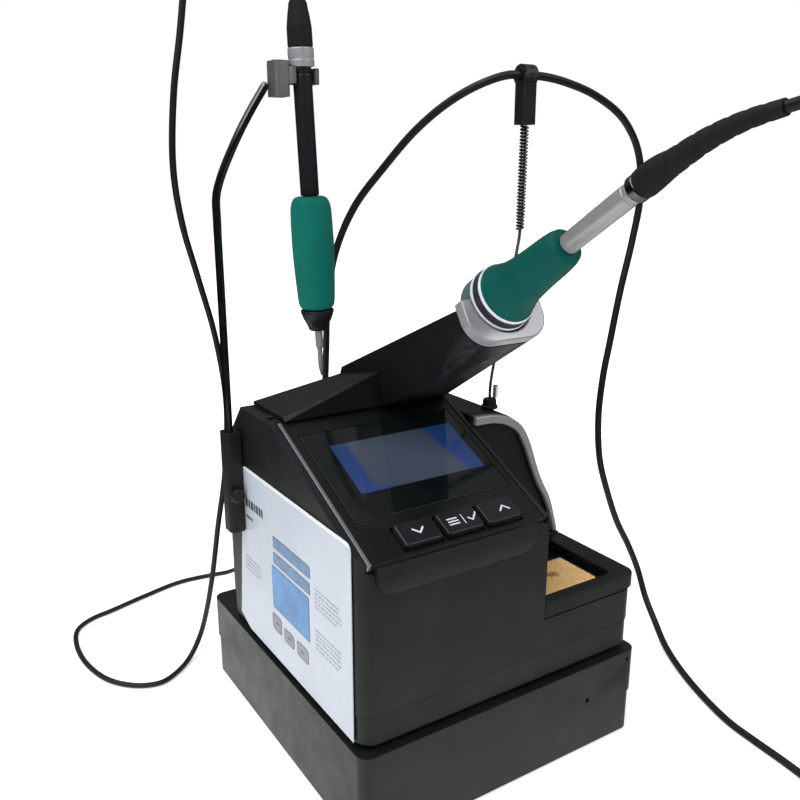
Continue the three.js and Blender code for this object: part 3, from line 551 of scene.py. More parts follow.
def sweep(name, pts, radius, mats, sides=14):
    bm = bmesh.new()
    sweep_into(bm, pts, radius, sides)
    return from_bmesh(name, bm, mats, angle=50)


# ------------------------------------------------------------------ cords: the same routes as the CAD solids
LEFT_UP = [[-45.16, 20, 348.15], [-45.5, 20.2, 356], [-47.6, 21.4, 367], [-54, 24.5, 377], [-63.5, 29, 381.5], [-72.5, 33.5, 377], [-78.5, 37, 366], [-81.3, 39, 352], [-83, 40.2, 338]]
LEFT_DOWN = [[-83.04, 40.23, 337.7], [-86.4, 41.2, 315], [-90.4, 42.5, 291], [-91.6, 46, 262], [-87, 53, 238], [-79.5, 59, 214], [-71, 64, 184], [-66, 68, 150], [-66.5, 74, 112], [-69.6, 80.5, 80], [-72, 87, 50], [-74.3, 95, 24], [-77.5, 98.5, 9], [-85, 93.5, 1.6], [-95, 84.5, 0.5], [-106, 79, 0.45], [-117, 82.5, 0.45], [-128, 94.5, 0.45], [-134.6, 114.6, 0.45], [-135.6, 139, 0.45], [-131, 157, 0.45], [-121.5, 165, 0.45], [-108, 169, 0.45], [-86, 176, 0.45], [-62, 182, 0.45], [-43, 180.5, 0.6], [-32, 171, 4.5], [-29.5, 155, 16], [-33, 138, 36], [-39.5, 120, 60], [-43.2, 104, 74.5], [-44, 95, 77.8], [-44, 87.9, 78]]
RIGHT_OUT = [[0.05, -175.3, 278.07], [0.6, -183, 279.6], [3.5, -192, 279.2], [10, -199.5, 274.5], [19.5, -204, 264], [30, -205, 246], [41, -203.5, 222], [51, -200.5, 193], [61, -196.5, 160], [71, -191.5, 124], [81, -186, 88], [90, -180, 54], [98, -173.5, 26], [104, -166.5, 9], [109, -157, 1.8], [112.4, -146, 0.7], [113.9, -134, 0.7], [115, -120, 0.7]]
RIGHT_BACK = [[115.03, -119.7, 0.7], [116.8, -104, 0.7], [121.4, -88, 0.7], [128, -71, 0.7], [136, -54.5, 0.7], [145, -39, 1.2], [153, -25, 5.5], [157.5, -12.5, 15], [157.5, -5, 30], [151.5, -1.5, 46], [142.5, 0, 62], [133, 0, 82], [124.5, 0, 105], [121.5, 0, 130], [123, 0, 152], [126.7, 0, 172], [131.7, 0, 198], [138, 0, 224], [141, -0.5, 246], [136, -2, 268], [120, -5.5, 284], [97, -9, 294], [74, -12, 299], [60, -12.9, 300.6], [49.6, -13, 300.7], [39, -12.6, 300.2], [29, -7, 296.5], [21, 5, 289.5], [13.5, 20, 278], [6.6, 36, 262], [0, 54, 242.5], [-3.5, 68, 219], [-3.2, 78, 192], [-0.5, 86, 165], [2, 94, 140], [2, 102.5, 116], [-1.5, 107, 97], [-4.8, 105, 85.5], [-5.9, 99.5, 79.6], [-6, 94.5, 78.1], [-6, 87.9, 78]]
CORDS = []
for cname, route, radius in (("cable_left_upper", LEFT_UP, 1.4), ("cable_left_lower", LEFT_DOWN, 1.4), ("cable_right_outer", RIGHT_OUT, 1.8), ("cable_right_inner", RIGHT_BACK, 1.8)):
    dense = catmull(route, 10)
    o = sweep(cname + "_cord", dense, radius, [MAT["cable"]])
    CORDS.append((cname, o, dense, radius))

# the plugs at the unit's rear
def plug(side, x):
    o = Vector((x, 57.5, 78))
    bm = bmesh.new()
    prof = round_profile([(0, -8), (4.2, -8), (4.2, 2.8), (7.15, 2.8), (7.15, 14), (5.2, 16.6), (4.9, 18.4), (4.9, 20.2), (4.1, 20.7), (4.1, 22.2), (4.7, 22.6), (4.7, 24.2), (3.8, 24.7), (3.8, 26.0), (4.2, 26.4), (4.2, 27.8), (3.3, 28.2), (3.2, 30), (0, 30)], 0.35, 3)
    lathe_into(bm, prof, o, (0, 1, 0), 48)
    # knurled locking ring
    for k in range(24):
        t = 2 * math.pi * k / 24
        c = Vector((x + math.cos(t) * 7.05, 0, 78 + math.sin(t) * 7.05))
        lathe_into(bm, round_profile([(0, 4.2), (0.33, 4.2), (0.33, 12.6), (0, 12.6)], 0.15, 2), Vector((c.x, 57.5, c.z)), (0, 1, 0), 6)
    ob = from_bmesh("plug_" + side + "_body", bm, [MAT["rubber"]], angle=45)
    return finish_piece(ob, "station", ["plug_" + side])


PLUGS = {"left": plug("left", -44), "right": plug("right", -6)}

for cname, o, dense, radius in CORDS:
    if cname == "cable_left_upper":
        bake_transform(o)
        far, extra, lay = "object", (), "hanging"
    elif cname == "cable_left_lower":
        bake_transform(o)
        far, extra, lay = "connector", [PLUGS["left"]], "loose"
    elif cname == "cable_right_outer":
        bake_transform(o)
        far, extra, lay = "object", (), "loose"
    else:
        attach(o, "station")
        far, extra, lay = "connector", [PLUGS["right"]], "loose"
    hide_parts(cname)

# ------------------------------------------------------------------ supply box
refine("supply_top_cover", MAT["base"], 1.3, 4)
refine("supply_bottom_shell", MAT["base"], 0.8, 3)
for i in range(1, 5):
    refine("supply_foot_%d" % i, MAT["rubber"], 0.3, 2)
refine("mains_inlet", MAT["inner_plastic"], 0.4, 2)
refine("power_switch_frame", MAT["inner_plastic"], 0.4, 2)
refine("power_rocker", MAT["keycap"], 0.5, 3)

# ------------------------------------------------------------------ control unit
refine("unit_bottom_shell", MAT["housing"], 0.8, 3)
refine("unit_casing", MAT["housing"], 1.2, 4)
refine("panel_bezel", [MAT["panel"], MAT["housing_plain"]], 0.7, 3, pick=lambda f: 1 if f.normal.y < -0.9 else 0, dissolve=0)
refine("panel_trim_left", MAT["silver_trim"], 0.3, 3)
refine("panel_trim_right", MAT["trim_dark"], 0.3, 3)
refine("display_glass", MAT["glass"], 0.25, 2)
for k in ("key_down", "key_menu", "key_up"):
    refine(k, MAT["keycap"], 1.1, 4)
refine("roof_lamp", MAT["glass"], 0.3, 3)

SLOPE = math.radians(25)


def panel(x, s, w):
    """A point on the sloping panel: x across, s down the slope, w out of it."""
    return (x, -s * math.cos(SLOPE) - w * math.sin(SLOPE), 157.5 - s * math.sin(SLOPE) + w * math.cos(SLOPE))


def plate_into(bm, outline, to3d, w0, w1, mat=0, uv=None):
    """A thin closed plate over an outline of (a, b) points; to3d(a, b, w) places it."""
    low = [bm.verts.new(V(to3d(a, b, w0))) for a, b in outline]
    top = [bm.verts.new(V(to3d(a, b, w1))) for a, b in outline]
    n = len(outline)
    faces = [bm.faces.new(top), bm.faces.new(list(reversed(low)))]
    for i in range(n):
        j = (i + 1) % n
        faces.append(bm.faces.new((low[i], low[j], top[j], top[i])))
    for f in faces:
        f.material_index = mat
    return faces


def rounded_rect(a0, a1, b0, b1, r, n=4):
    r = min(r, abs(a1 - a0) / 2 - 1e-3, abs(b1 - b0) / 2 - 1e-3)
    pts = []
    for cx, cy, start in ((a1 - r, b1 - r, 0), (a0 + r, b1 - r, 90), (a0 + r, b0 + r, 180), (a1 - r, b0 + r, 270)):
        for k in range(n + 1):
            t = math.radians(start + 90 * k / n)
            pts.append((cx + r * math.cos(t), cy + r * math.sin(t)))
    return pts


def stroke(points, width):
    """Outlines of short bars along a polyline, one per segment, with round-ish ends."""
    out = []
    for (a0, b0), (a1, b1) in zip(points, points[1:]):
        d = Vector((a1 - a0, b1 - b0))
        L = d.length
        d.normalize()
        nrm = Vector((-d.y, d.x)) * width / 2
        e = width * 0.35
        c0, c1 = Vector((a0, b0)), Vector((a1, b1))
        out.append([tuple(c0 + nrm), tuple(c0 - d * e + nrm * 0.6), tuple(c0 - d * e - nrm * 0.6), tuple(c0 - nrm), tuple(c1 - nrm), tuple(c1 + d * e - nrm * 0.6), tuple(c1 + d * e + nrm * 0.6), tuple(c1 + nrm)])
    return out


# liquid crystal picture under the glass: blue field with a wide slate reflection, a painted reflection that glows with
# the picture
def lcd_material():
    m = Mat("display_picture")
    m.set(Specular_IOR_Level=0.35, Coat_Weight=0.1, Coat_Roughness=0.05)
    x, y, _ = m.xyz(m.uv())
    blue = m.ramp(y, [(0.0, (0.014, 0.032, 0.135)), (0.45, (0.008, 0.024, 0.115)), (1.0, (0.006, 0.026, 0.085))])
    # the slate colour is a painted reflection, laid over the blue field by the mask below
    painted_reflection = m.ramp(m.math("ADD", m.math("MULTIPLY", x, 0.5), m.math("MULTIPLY", y, 0.5)), [(0.0, (0.030, 0.038, 0.058)), (0.5, (0.036, 0.046, 0.068)), (1.0, (0.020, 0.026, 0.042))])
    left = m.smooth(x, 0.10, 0.15)
    slant = m.math("ADD", x, m.math("MULTIPLY", y, 0.12))
    n = m.t.nodes.new("ShaderNodeMath")
    n.operation = "SUBTRACT"
    n.inputs[0].default_value = 1.0
    m.link(m.smooth(slant, 0.84, 0.90), n.inputs[1])
    low = m.smooth(m.math("ADD", y, m.math("MULTIPLY", x, 0.42)), 0.10, 0.17)
    painted_reflection_mask = m.math("MULTIPLY", m.math("MULTIPLY", left, n.outputs[0]), low)
    c = m.mix(painted_reflection_mask, blue, painted_reflection)
    grid = m.ramp(m.noise(2600, 2), [(0.4, 0.0), (0.7, 0.10)])
    c = m.mix(grid, c, (0.05, 0.07, 0.11))
    m.colour(c)
    # the emission makes the backlit blue field glow, and with it the painted slate reflection
    m.link(c, m.b.inputs["Emission Color"])
    m.b.inputs["Emission Strength"].default_value = 0.55
    m.rough(m.ramp(m.noise(80, 5), [(0.4, 0.08), (0.8, 0.2)]))
    m.bump(m.noise(25, 2), 0.03, 0.0003)
    return m.m


def lcd():
    bm = bmesh.new()
    layer = bm.loops.layers.uv.new("UVMap")
    x0, x1, s0, s1 = -54.0, 7.6, 19.2, 48.7
    outline = rounded_rect(x0, x1, s0, s1, 0.6, 2)
    verts = {}
    low = [bm.verts.new(V(panel(a, b, 0.12))) for a, b in outline]
    top = [bm.verts.new(V(panel(a, b, 0.18))) for a, b in outline]
    for vset in (low, top):
        for v, (a, b) in zip(vset, outline):
            verts[v] = ((a - x0) / (x1 - x0), 1 - (b - s0) / (s1 - s0))
    bm.faces.new(top)
    bm.faces.new(list(reversed(low)))
    n = len(outline)
    for i in range(n):
        j = (i + 1) % n
        bm.faces.new((low[i], low[j], top[j], top[i]))
    for f in bm.faces:
        for lp in f.loops:
            lp[layer].uv = verts[lp.vert]
    o = from_bmesh("display_picture", bm, [lcd_material()], smooth=False)
    return finish_piece(o, "station")


lcd()

# key legends: white ink with a faint emission, a painted glow, since the keys hold no lamp
legend_ink_painted_glow = plain_paint("key_legend_painted_glow", (0.72, 0.75, 0.78), 0.4, 0.06, 700, emit=0.12)


def legends(body, name, shapes):
    bm = bmesh.new()
    for outline in shapes:
        plate_into(bm, outline, panel, 2.72, 2.80)
    o = from_bmesh(name, bm, [legend_ink_painted_glow], smooth=False)
    return finish_piece(o, body)


legends("key_down_body", "key_down_legend", stroke([(-45.6, 73.6), (-43.2, 76.0)], 0.75) + stroke([(-43.2, 76.0), (-40.8, 73.6)], 0.75))
menu = []
for b in (73.6, 75.0, 76.4):
    menu += stroke([(-29.4, b), (-24.8, b)], 0.6)
menu += stroke([(-22.3, 72.6), (-22.3, 77.4)], 0.35)
menu += stroke([(-20.0, 75.0), (-18.4, 76.6)], 0.65) + stroke([(-18.4, 76.6), (-15.4, 73.3)], 0.65)
legends("key_menu_body", "key_menu_legend", menu)
legends("key_up_body", "key_up_legend", stroke([(-4.2, 76.0), (-1.8, 73.6)], 0.75) + stroke([(-1.8, 73.6), (0.6, 76.0)], 0.75))

# side label: a printed plate with a generic picture of the display, its keys and lines of writing
def label_plate():
    m = Mat("label_plate")
    m.set(Specular_IOR_Level=0.4, Coat_Weight=0.25, Coat_Roughness=0.2)
    z = m.xyz()[2]
    base = m.ramp(m.noise(22, 4), [(0.3, (0.50, 0.555, 0.635)), (0.7, (0.585, 0.64, 0.715))])
    top = m.smooth(z, 0.1292, 0.1306)
    c = m.mix(top, base, (0.86, 0.88, 0.90))
    m.colour(c)
    m.rough(m.ramp(m.noise(120, 5), [(0.3, 0.28), (0.7, 0.42)]))
    m.bump(m.noise(1400, 2), 0.05, 0.00006)
    return m.m


LABEL = [label_plate()]
refine("side_label", LABEL, 0.18, 2)
INK = {
    "ink": plain_paint("label_ink", (0.055, 0.085, 0.080), 0.45, 0.25, 500),
    "navy": plain_paint("label_navy", (0.075, 0.12, 0.20), 0.4, 0.2, 300),
    "blue": plain_paint("label_blue", (0.115, 0.27, 0.54), 0.4, 0.2, 60),
    "bar": plain_paint("label_bar", (0.15, 0.26, 0.42), 0.4, 0.15, 200),
    "key": plain_paint("label_key", (0.13, 0.145, 0.165), 0.4, 0.15, 250),
    "keylight": plain_paint("label_key_light", (0.27, 0.29, 0.32), 0.4, 0.1, 250),
    "faint": plain_paint("label_faint", (0.33, 0.37, 0.42), 0.45, 0.25, 900),
}
ink_order = list(INK)


def on_label(y, z, w):
    return (-73.8 - w, y, z)


def label_art():
    bm = bmesh.new()
    rng = random.Random(5)

    def rect(y0, y1, z0, z1, kind, r=0.4, w0=0.03, w1=0.07):
        plate_into(bm, rounded_rect(min(y0, y1), max(y0, y1), min(z0, z1), max(z0, z1), r, 3), on_label, w0, w1, ink_order.index(kind))

    # heading made of short blocks
    y = 29.2
    for wdt in (3.4, 2.6, 3.6, 2.2, 3.0, 2.8, 2.4):
        if y - wdt < 6.6:
            break
        rect(y, y - wdt + 0.8, 111.0, 115.2, "ink", 0.5)
        y -= wdt
    for k in range(4):
        rect(29.2 - k * 2.0, 27.8 - k * 2.0, 105.3, 106.7, "ink", 0.3)
    # picture of the display: two bars over a large field
    rect(0.0, -35.8, 101.5, 107.1, "navy", 0.9)
    rect(-0.35, -35.45, 101.85, 106.75, "bar", 0.8, 0.05, 0.09)
    rect(0.2, -35.4, 94.0, 99.5, "navy", 0.9)
    rect(-0.15, -35.05, 94.35, 99.15, "bar", 0.8, 0.05, 0.09)
    rect(2.2, -34.2, 71.6, 92.4, "navy", 1.0)
    rect(1.8, -33.8, 72.0, 92.0, "blue", 0.8, 0.05, 0.09)
    # three keys
    for y0, y1, z0, z1 in ((3.8, -6.0, 60.2, 68.6), (-8.2, -18.5, 59.6, 66.4), (-21.0, -32.4, 59.6, 66.8)):
        rect(y0, y1, z0, z1, "key", 1.8)
        rect(y0 - 0.4, y1 + 0.4, z0 + 0.4, z1 - 0.4, "keylight", 1.6, 0.05, 0.09)
        ym, zm = (y0 + y1) / 2, (z0 + z1) / 2
        rect(ym + 1.5, ym - 1.5, zm - 0.35, zm + 0.35, "ink", 0.3, 0.07, 0.11)
    # lines of small writing, as plain dashes
    for y0, y1, z0, z1, rows in ((33.0, 13.4, 78.6, 84.6, 4), (-39.6, -62.0, 91.2, 99.2, 5), (-39.4, -63.0, 72.2, 80.6, 5)):
        for r in range(rows):
            z = z1 - (z1 - z0) * r / (rows - 1)
            y = y0
            while y > y1 + 1.0:
                wdt = rng.uniform(1.2, 3.4)
                if y - wdt < y1:
                    break
                rect(y, y - wdt, z - 0.36, z + 0.36, "faint", 0.2)
                y -= wdt + 0.7
            if r == rows - 2:
                y1 += 3.0
    o = from_bmesh("side_label_print", bm, [INK[k] for k in ink_order], smooth=False)
    return finish_piece(o, "station")


label_art()

# ------------------------------------------------------------------ rest
refine("rest_fairing", MAT["fairing"], 1.0, 4)
refine("rest_liner", MAT["silver"], 0.2, 2)
refine("rest_cup", MAT["steel"], 0.2, 2)
refine("rest_rim", MAT["silver"], 0.8, 4)

REST_O = Vector((-1, -81.4, 225.8))
REST_A = Vector((0, -0.8347, 0.5508)).normalized()
REST_V = Vector((0, 0.5508, 0.8347)).normalized()


def rest(w, x=0.0, v=0.0):
    return REST_O + REST_A * w + REST_V * v + Vector((x, 0, 0))


# ------------------------------------------------------------------ irons
TILT = math.radians(2.4)
H_AXIS = Vector((-math.sin(TILT), 0, math.cos(TILT)))
H_O = Vector((-38.9, 20, 201))


def nozzle(name, o, axis, body, node):
    # bored right through, so that the cartridge runs in a clear hole
    prof = round_profile([(2.15, -0.35), (2.15, -10), (4.1, -9.6), (4.7, -7.6), (6.4, -4.2), (7.3, -1.6), (7.5, -0.35), (2.15, -0.35)], 0.5, 4)
    return lathe(name, prof, o, axis, [MAT["tube_black"]], body, [node], 56)


def cartridge(name, o, axis, body, node, tail):
    prof = round_profile([(0, -31), (0.35, -31), (0.6, -29.2), (1.05, -27.4), (1.15, -26.6), (1.15, -18.4), (1.75, -17.4), (1.75, -6), (1.95, -5.8), (1.95, -4.2), (1.75, -4.0), (1.75, tail), (0, tail)], 0.3, 3)
    prof[0], prof[-1] = (0, -31), (0, tail)
    return lathe(name, prof, o, axis, [MAT["tip_steel"]], body, [node], 32)


# hanging iron
nozzle("hanging_iron_nozzle_body", H_O, H_AXIS, "hanging_iron", "hanging_iron_nozzle")
cartridge("hanging_iron_cartridge_body", H_O, H_AXIS, "hanging_iron", "hanging_iron_cartridge", 43)
grip = [(2.15, 48.95), (2.15, 0.1), (6.0, 0.1), (7.2, 0.7), (7.9, 2.2), (8.2, 4.5), (8.45, 9), (8.8, 16), (9.1, 23), (9.2, 29), (9.1, 35), (8.95, 40), (8.8, 43.5), (8.3, 46.2), (7.2, 48.2), (5.6, 48.9), (4.4, 48.95), (2.15, 48.95)]


def grip_flats(t, h, r):
    return -0.16 * max(0.0, math.cos(2 * t)) if r > 7 else 0.0


lathe("hanging_iron_grip_body", round_profile(grip, 1.2, 4), H_O, H_AXIS, [MAT["teal"]], "hanging_iron", ["hanging_iron_grip"], 72, 60, grip_flats)
tube_prof = round_profile([(0, 49.3), (4.0, 49.3), (4.0, 97.6), (3.75, 97.9), (3.75, 99.0), (4.0, 99.3), (4.0, 100.6), (0, 100.6)], 0.25, 3)
lathe("hanging_iron_tube_body", tube_prof, H_O, H_AXIS, [MAT["tube_black"]], "hanging_iron", ["hanging_iron_tube"], 48)
ferrule_prof = round_profile([(0, 100.9), (5.0, 100.9), (5.4, 101.4), (5.4, 103.4), (5.15, 103.7), (5.15, 104.1), (5.4, 104.4), (5.4, 107.9), (5.0, 108.4), (0, 108.4)], 0.2, 3)
lathe("hanging_iron_ferrule_body", ferrule_prof, H_O, H_AXIS, [MAT["silver"]], "hanging_iron", ["hanging_iron_ferrule"], 56)


def boot_profile(h0, table, ribs):
    """A cable boot with soft ribs: table is (height, radius), ribs are (height, half width)."""
    out = [(0, h0)]
    hs = [table[0][0] + (table[-1][0] - table[0][0]) * k / 90 for k in range(91)]
    for h in hs:
        for (a, ra), (b, rb) in zip(table, table[1:]):
            if a <= h <= b + 1e-9:
                r = ra + (rb - ra) * (h - a) / (b - a)
                break
        for c, wd, dep in ribs:
            d = abs(h - c) / wd
            if d < 1:
                r -= dep * 0.5 * (1 + math.cos(math.pi * d))
        out.append((r, h))
    out.append((0, table[-1][0]))
    return out


hang_boot = boot_profile(108.7, [(108.7, 5.2), (116, 5.15), (120, 4.6), (124, 3.9), (134, 3.0), (147, 2.3)], [(126, 0.9, 0.45), (129.4, 0.9, 0.42), (132.8, 0.9, 0.4), (136.2, 0.9, 0.35), (139.6, 0.9, 0.3), (143, 0.9, 0.25)])
lathe("hanging_iron_boot_body", hang_boot, H_O, H_AXIS, [MAT["rubber"]], "hanging_iron", ["hanging_iron_boot"], 40, 60)

# resting iron: pale front part, dark band with two light rings that are painted highlights on its edges, then the grip
R_O = rest(-33)
nozzle("resting_iron_nozzle_body", R_O, REST_A, "resting_iron", "resting_iron_nozzle")
cartridge("resting_iron_cartridge_body", R_O, REST_A, "resting_cartridge", "resting_iron_cartridge", 46.5)
# the two light rings at the band's edges are painted highlights
band_edge_highlight = plain_paint("grip_band_edge_highlight", (0.70, 0.72, 0.76), 0.35, 0.08, 400)
band_dark = plain_paint("grip_band_dark", (0.030, 0.028, 0.042), 0.35, 0.25, 400)
rp = [(2.15, 52.4, 1), (2.15, 0.1, 1), (12.0, 0.1, 1), (12.7, 0.6, 1), (13.0, 1.6, 1), (13.05, 8.5, 1), (13.3, 8.8, 2), (13.45, 9.3, 2), (13.4, 9.9, 2), (13.05, 10.2, 2), (12.95, 10.5, 3), (12.7, 13.6, 3), (12.75, 13.9, 2), (12.7, 14.4, 2), (12.3, 14.8, 2), (11.8, 15.1), (11.6, 15.9), (11.0, 18.5), (10.3, 20.4), (9.8, 22.4), (9.35, 25), (9.0, 28), (8.7, 31.5), (8.4, 35), (8.2, 39), (8.0, 43), (7.75, 46.2), (7.4, 49), (6.8, 51.2), (5.9, 52.2), (4.6, 52.4), (2.15, 52.4)]
lathe("resting_iron_grip_body", rp, R_O, REST_A, [MAT["teal_dark"], MAT["teal_pale"], band_edge_highlight, band_dark], "resting_iron", ["resting_iron_grip"], 72, 50)
lathe("resting_iron_tube_body", round_profile([(0, 52.8), (3.9, 52.8), (3.9, 84.2), (3.65, 84.5), (3.65, 85.3), (3.9, 85.6), (3.9, 86.5), (0, 86.5)], 0.25, 3), R_O, REST_A, [MAT["tube_grey"]], "resting_iron", ["resting_iron_tube"], 48)
lathe("resting_iron_ferrule_body", round_profile([(0, 86.8), (4.4, 86.8), (4.7, 87.2), (4.7, 89.8), (4.4, 90.2), (0, 90.2)], 0.25, 3), R_O, REST_A, [MAT["steel_dark"]], "resting_iron", ["resting_iron_ferrule"], 48)
b0 = R_O + REST_A * 90.5
boot_path = catmull([b0, b0 + REST_A * 8, Vector((-1, -140.5, 264.2)), Vector((-1, -152, 270.4)), Vector((-0.6, -163.5, 275)), Vector((0, -175, 278))], 16)


def boot_radius(t):
    stops = [(0, 4.9), (0.03, 5.05), (0.12, 5.0), (0.35, 4.25), (0.6, 3.4), (0.8, 2.8), (1.0, 2.4)]
    for (a, ra), (b, rb) in zip(stops, stops[1:]):
        if a <= t <= b + 1e-9:
            r = ra + (rb - ra) * (t - a) / (b - a)
            break
    if 0.36 < t < 0.97:
        r -= 0.28 * max(0.0, math.sin((t - 0.36) * math.pi / 0.0435)) ** 2 * (1 - 0.4 * t)
    return r


o = sweep("resting_iron_boot_body", boot_path, boot_radius, [MAT["rubber"]], 28)
finish_piece(o, "resting_iron", ["resting_iron_boot"])

# ------------------------------------------------------------------ hanger
refine("hanger_bracket", MAT["housing"], 0.9, 4)
refine("hanger_clip", MAT["clip_metal"], 0.5, 3)
rod_path = catmull([(-78, 34.4, 113), (-78, 34.4, 150), (-78, 34.4, 200), (-78, 34.4, 240), (-77.8, 34.2, 250), (-76, 32.4, 258), (-70, 27.6, 273.7), (-64, 25.2, 285), (-57.8, 23, 295.2)], 12)


def rod_radius(t):
    e = min(t, 1 - t)
    return 1.75 if e > 0.006 else 1.75 * (0.75 + 0.25 * e / 0.006)


o = sweep("hanger_rod_body", rod_path, rod_radius, [MAT["steel_dark"]], 20)
finish_piece(o, "hanger", ["hanger_rod"])


def knurl(t, h, r):
    return 0.14 * math.cos(18 * t) - 0.14 if r > 3.0 and -4.1 < h < -1.0 else 0.0


knob_prof = [(0, -4.4), (2.2, -4.4), (2.9, -4.3), (3.25, -4.0), (3.4, -3.6), (3.4, -2.6), (3.4, -1.6), (3.35, -1.2), (3.1, -0.9), (1.7, -0.7), (1.68, 0.2), (1.5, 0.4), (1.68, 0.6), (1.5, 0.8), (1.68, 1.0), (1.5, 1.2), (1.68, 1.4), (1.3, 1.95), (0, 1.95)]
lathe("hanger_knob_body", knob_prof, (-78, 30.3, 117), (0, 1, 0), [MAT["nut"]], "clamp_screw", ["hanger_knob"], 72, 60, knurl)

# ------------------------------------------------------------------ tray and pod
refine("tip_tray", MAT["fairing"], 0.9, 4)


def smooth_line(points, n=8):
    pts = catmull([(a, 0, b) for a, b in points], n)
    return [(p.x, p.z) for p in pts]


def extrude_outline(name, outline, y0, y1, mats, body, node, bevel, seg=4, angle=40):
    bm = bmesh.new()
    plate_into(bm, outline, lambda a, b, w: (a, w, b), y0, y1)
    o = from_bmesh(name, bm, mats, angle=angle)
    add_bevel(o, bevel, seg, angle)
    return finish_piece(o, body, [node])


X0 = 18.3
arc = smooth_line([(X0, 152), (30, 151.2), (39, 149), (47.3, 143.4), (52.5, 135), (58, 121), (61.7, 112.7), (67.7, 101.7), (71, 92), (74.2, 81.8)], 7)
bm = bmesh.new()
plate_into(bm, [(X0, 74.3)] + arc + [(74.2, 74.3)], lambda a, b, w: (a, w, b), -19.9, 57.5)
pod = from_bmesh("pod_housing_body", bm, [MAT["housing"]], angle=40)
add_bevel(pod, 1.3, 4, 40)
finish_piece(pod, "station", ["pod_housing"])
bm = bmesh.new()
plate_into(bm, rounded_rect(X0, 74.2, 74.3, 81.9, 0.5, 3), lambda a, b, w: (a, w, b), -23.1, -19.7)
sill = from_bmesh("pod_sill_body", bm, [MAT["housing"]], angle=40)
add_bevel(sill, 0.5, 3, 40)
finish_piece(sill, "station")
outer = smooth_line([(X0 + 0.4, 151.6), (30, 150.9), (38.8, 148.6), (47, 143), (52.2, 134.8), (57.7, 120.8), (61.4, 112.5), (67.4, 101.5), (70.7, 91.8), (73.4, 82.4)], 7)
inner = smooth_line([(70.2, 82.4), (67.9, 91), (64.4, 100.2), (58.3, 111), (54.4, 119.6), (48.6, 133), (44.2, 140.2), (37, 144.8), (29.4, 146.8), (X0 + 0.4, 147.2)], 7)
extrude_outline("pod_band_body", outer + inner, -23.1, -20.2, [MAT["silver"]], "station", "pod_band", 1.1, 5)


def sponge_material():
    m = Mat("sponge_cell")
    m.set(Specular_IOR_Level=0.05, Sheen_Weight=0.0, Sheen_Roughness=0.6)
    big = m.ramp(m.noise(70, 4), [(0.3, (0.98, 0.60, 0.24)), (0.7, (1.0, 0.68, 0.31))])
    cells = m.ramp(m.voronoi(900), [(0.10, 0.0), (0.42, 1.0)])
    c = m.mix(cells, (0.74, 0.44, 0.17), big)
    # a worn reddish mark where tips are wiped
    x, y, _ = m.xyz()
    d1 = m.t.nodes.new("ShaderNodeVectorMath")
    d1.operation = "DISTANCE"
    m.link(m.mapping(scale=(1, 1.5, 0)), d1.inputs[0])
    q = P(41.5, -53.5, 79.6)
    d1.inputs[1].default_value = (q.x, q.y * 1.5, 0)
    ringy = m.math("ADD", d1.outputs["Value"], m.math("MULTIPLY", m.noise(420, 4, 0.7), 0.006))
    blot = m.ramp(m.math("MULTIPLY", ringy, 80), [(0.40, 1.0), (0.62, 0.0)])
    c = m.mix(m.math("MULTIPLY", blot, 0.75), c, (0.30, 0.055, 0.030))
    m.colour(c)
    m.rough(m.ramp(m.noise(200, 3), [(0.3, 0.8), (0.7, 0.95)]))
    n = m.bump(m.voronoi(900), 0.7, 0.0005)
    m.bump(m.noise(260, 4), 0.4, 0.0006, n)
    return m.m


def sponge():
    bm = bmesh.new()
    x0, x1, y0, y1, z0, z1 = 24.7, 58.3, -66.3, -41.2, 76.15, 79.45
    nx, ny = 46, 34
    rng = random.Random(3)
    from mathutils import noise as mnoise
    grid = {}
    for side in (0, 1):
        for i in range(nx + 1):
            for j in range(ny + 1):
                u, v = i / nx, j / ny
                ex, ey = min(u, 1 - u) * (x1 - x0), min(v, 1 - v) * (y1 - y0)
                e = min(ex, ey)
                edge = 1 - math.exp(-e / 1.1)
                x, y = x0 + u * (x1 - x0), y0 + v * (y1 - y0)
                k = mnoise.noise(Vector((x * 0.9, y * 0.9, side * 9.0))) * 0.16 + mnoise.noise(Vector((x * 0.22, y * 0.22, 4.0))) * 0.14
                mid = (z0 + z1) / 2
                half = (z1 - z0) / 2
                z = mid + (1 if side else -1) * half * (0.62 + 0.38 * edge) * (1 if not side else 1) + (k * edge if side else 0)
                cr = 1.6
                # round the plan corners a little
                cx, cy = (0 if ex > cr else (cr - ex)), (0 if ey > cr else (cr - ey))
                if cx and cy:
                    s = (cx * cx + cy * cy) ** 0.5
                    if s > cr * 0.98:
                        f = (cr * 0.98) / s
                        x = (x0 + cr - cx * f) if u < 0.5 else (x1 - cr + cx * f)
                        y = (y0 + cr - cy * f) if v < 0.5 else (y1 - cr + cy * f)
                grid[side, i, j] = bm.verts.new(P(x, y, min(z, 79.8)))
    for side in (0, 1):
        for i in range(nx):
            for j in range(ny):
                q = [grid[side, i, j], grid[side, i + 1, j], grid[side, i + 1, j + 1], grid[side, i, j + 1]]
                bm.faces.new(q if side else list(reversed(q)))
    rim = [(i, 0) for i in range(nx)] + [(nx, j) for j in range(ny)] + [(i, ny) for i in range(nx, 0, -1)] + [(0, j) for j in range(ny, 0, -1)]
    for k, a in enumerate(rim):
        b = rim[(k + 1) % len(rim)]
        bm.faces.new((grid[0, a[0], a[1]], grid[0, b[0], b[1]], grid[1, b[0], b[1]], grid[1, a[0], a[1]]))
    o = from_bmesh("sponge_pad_body", bm, [sponge_material()], smooth=True)
    sub = o.modifiers.new("soft", "SUBSURF")
    sub.levels = sub.render_levels = 1
    finish_piece(o, "sponge_pad", ["sponge"])
    return o


sponge()

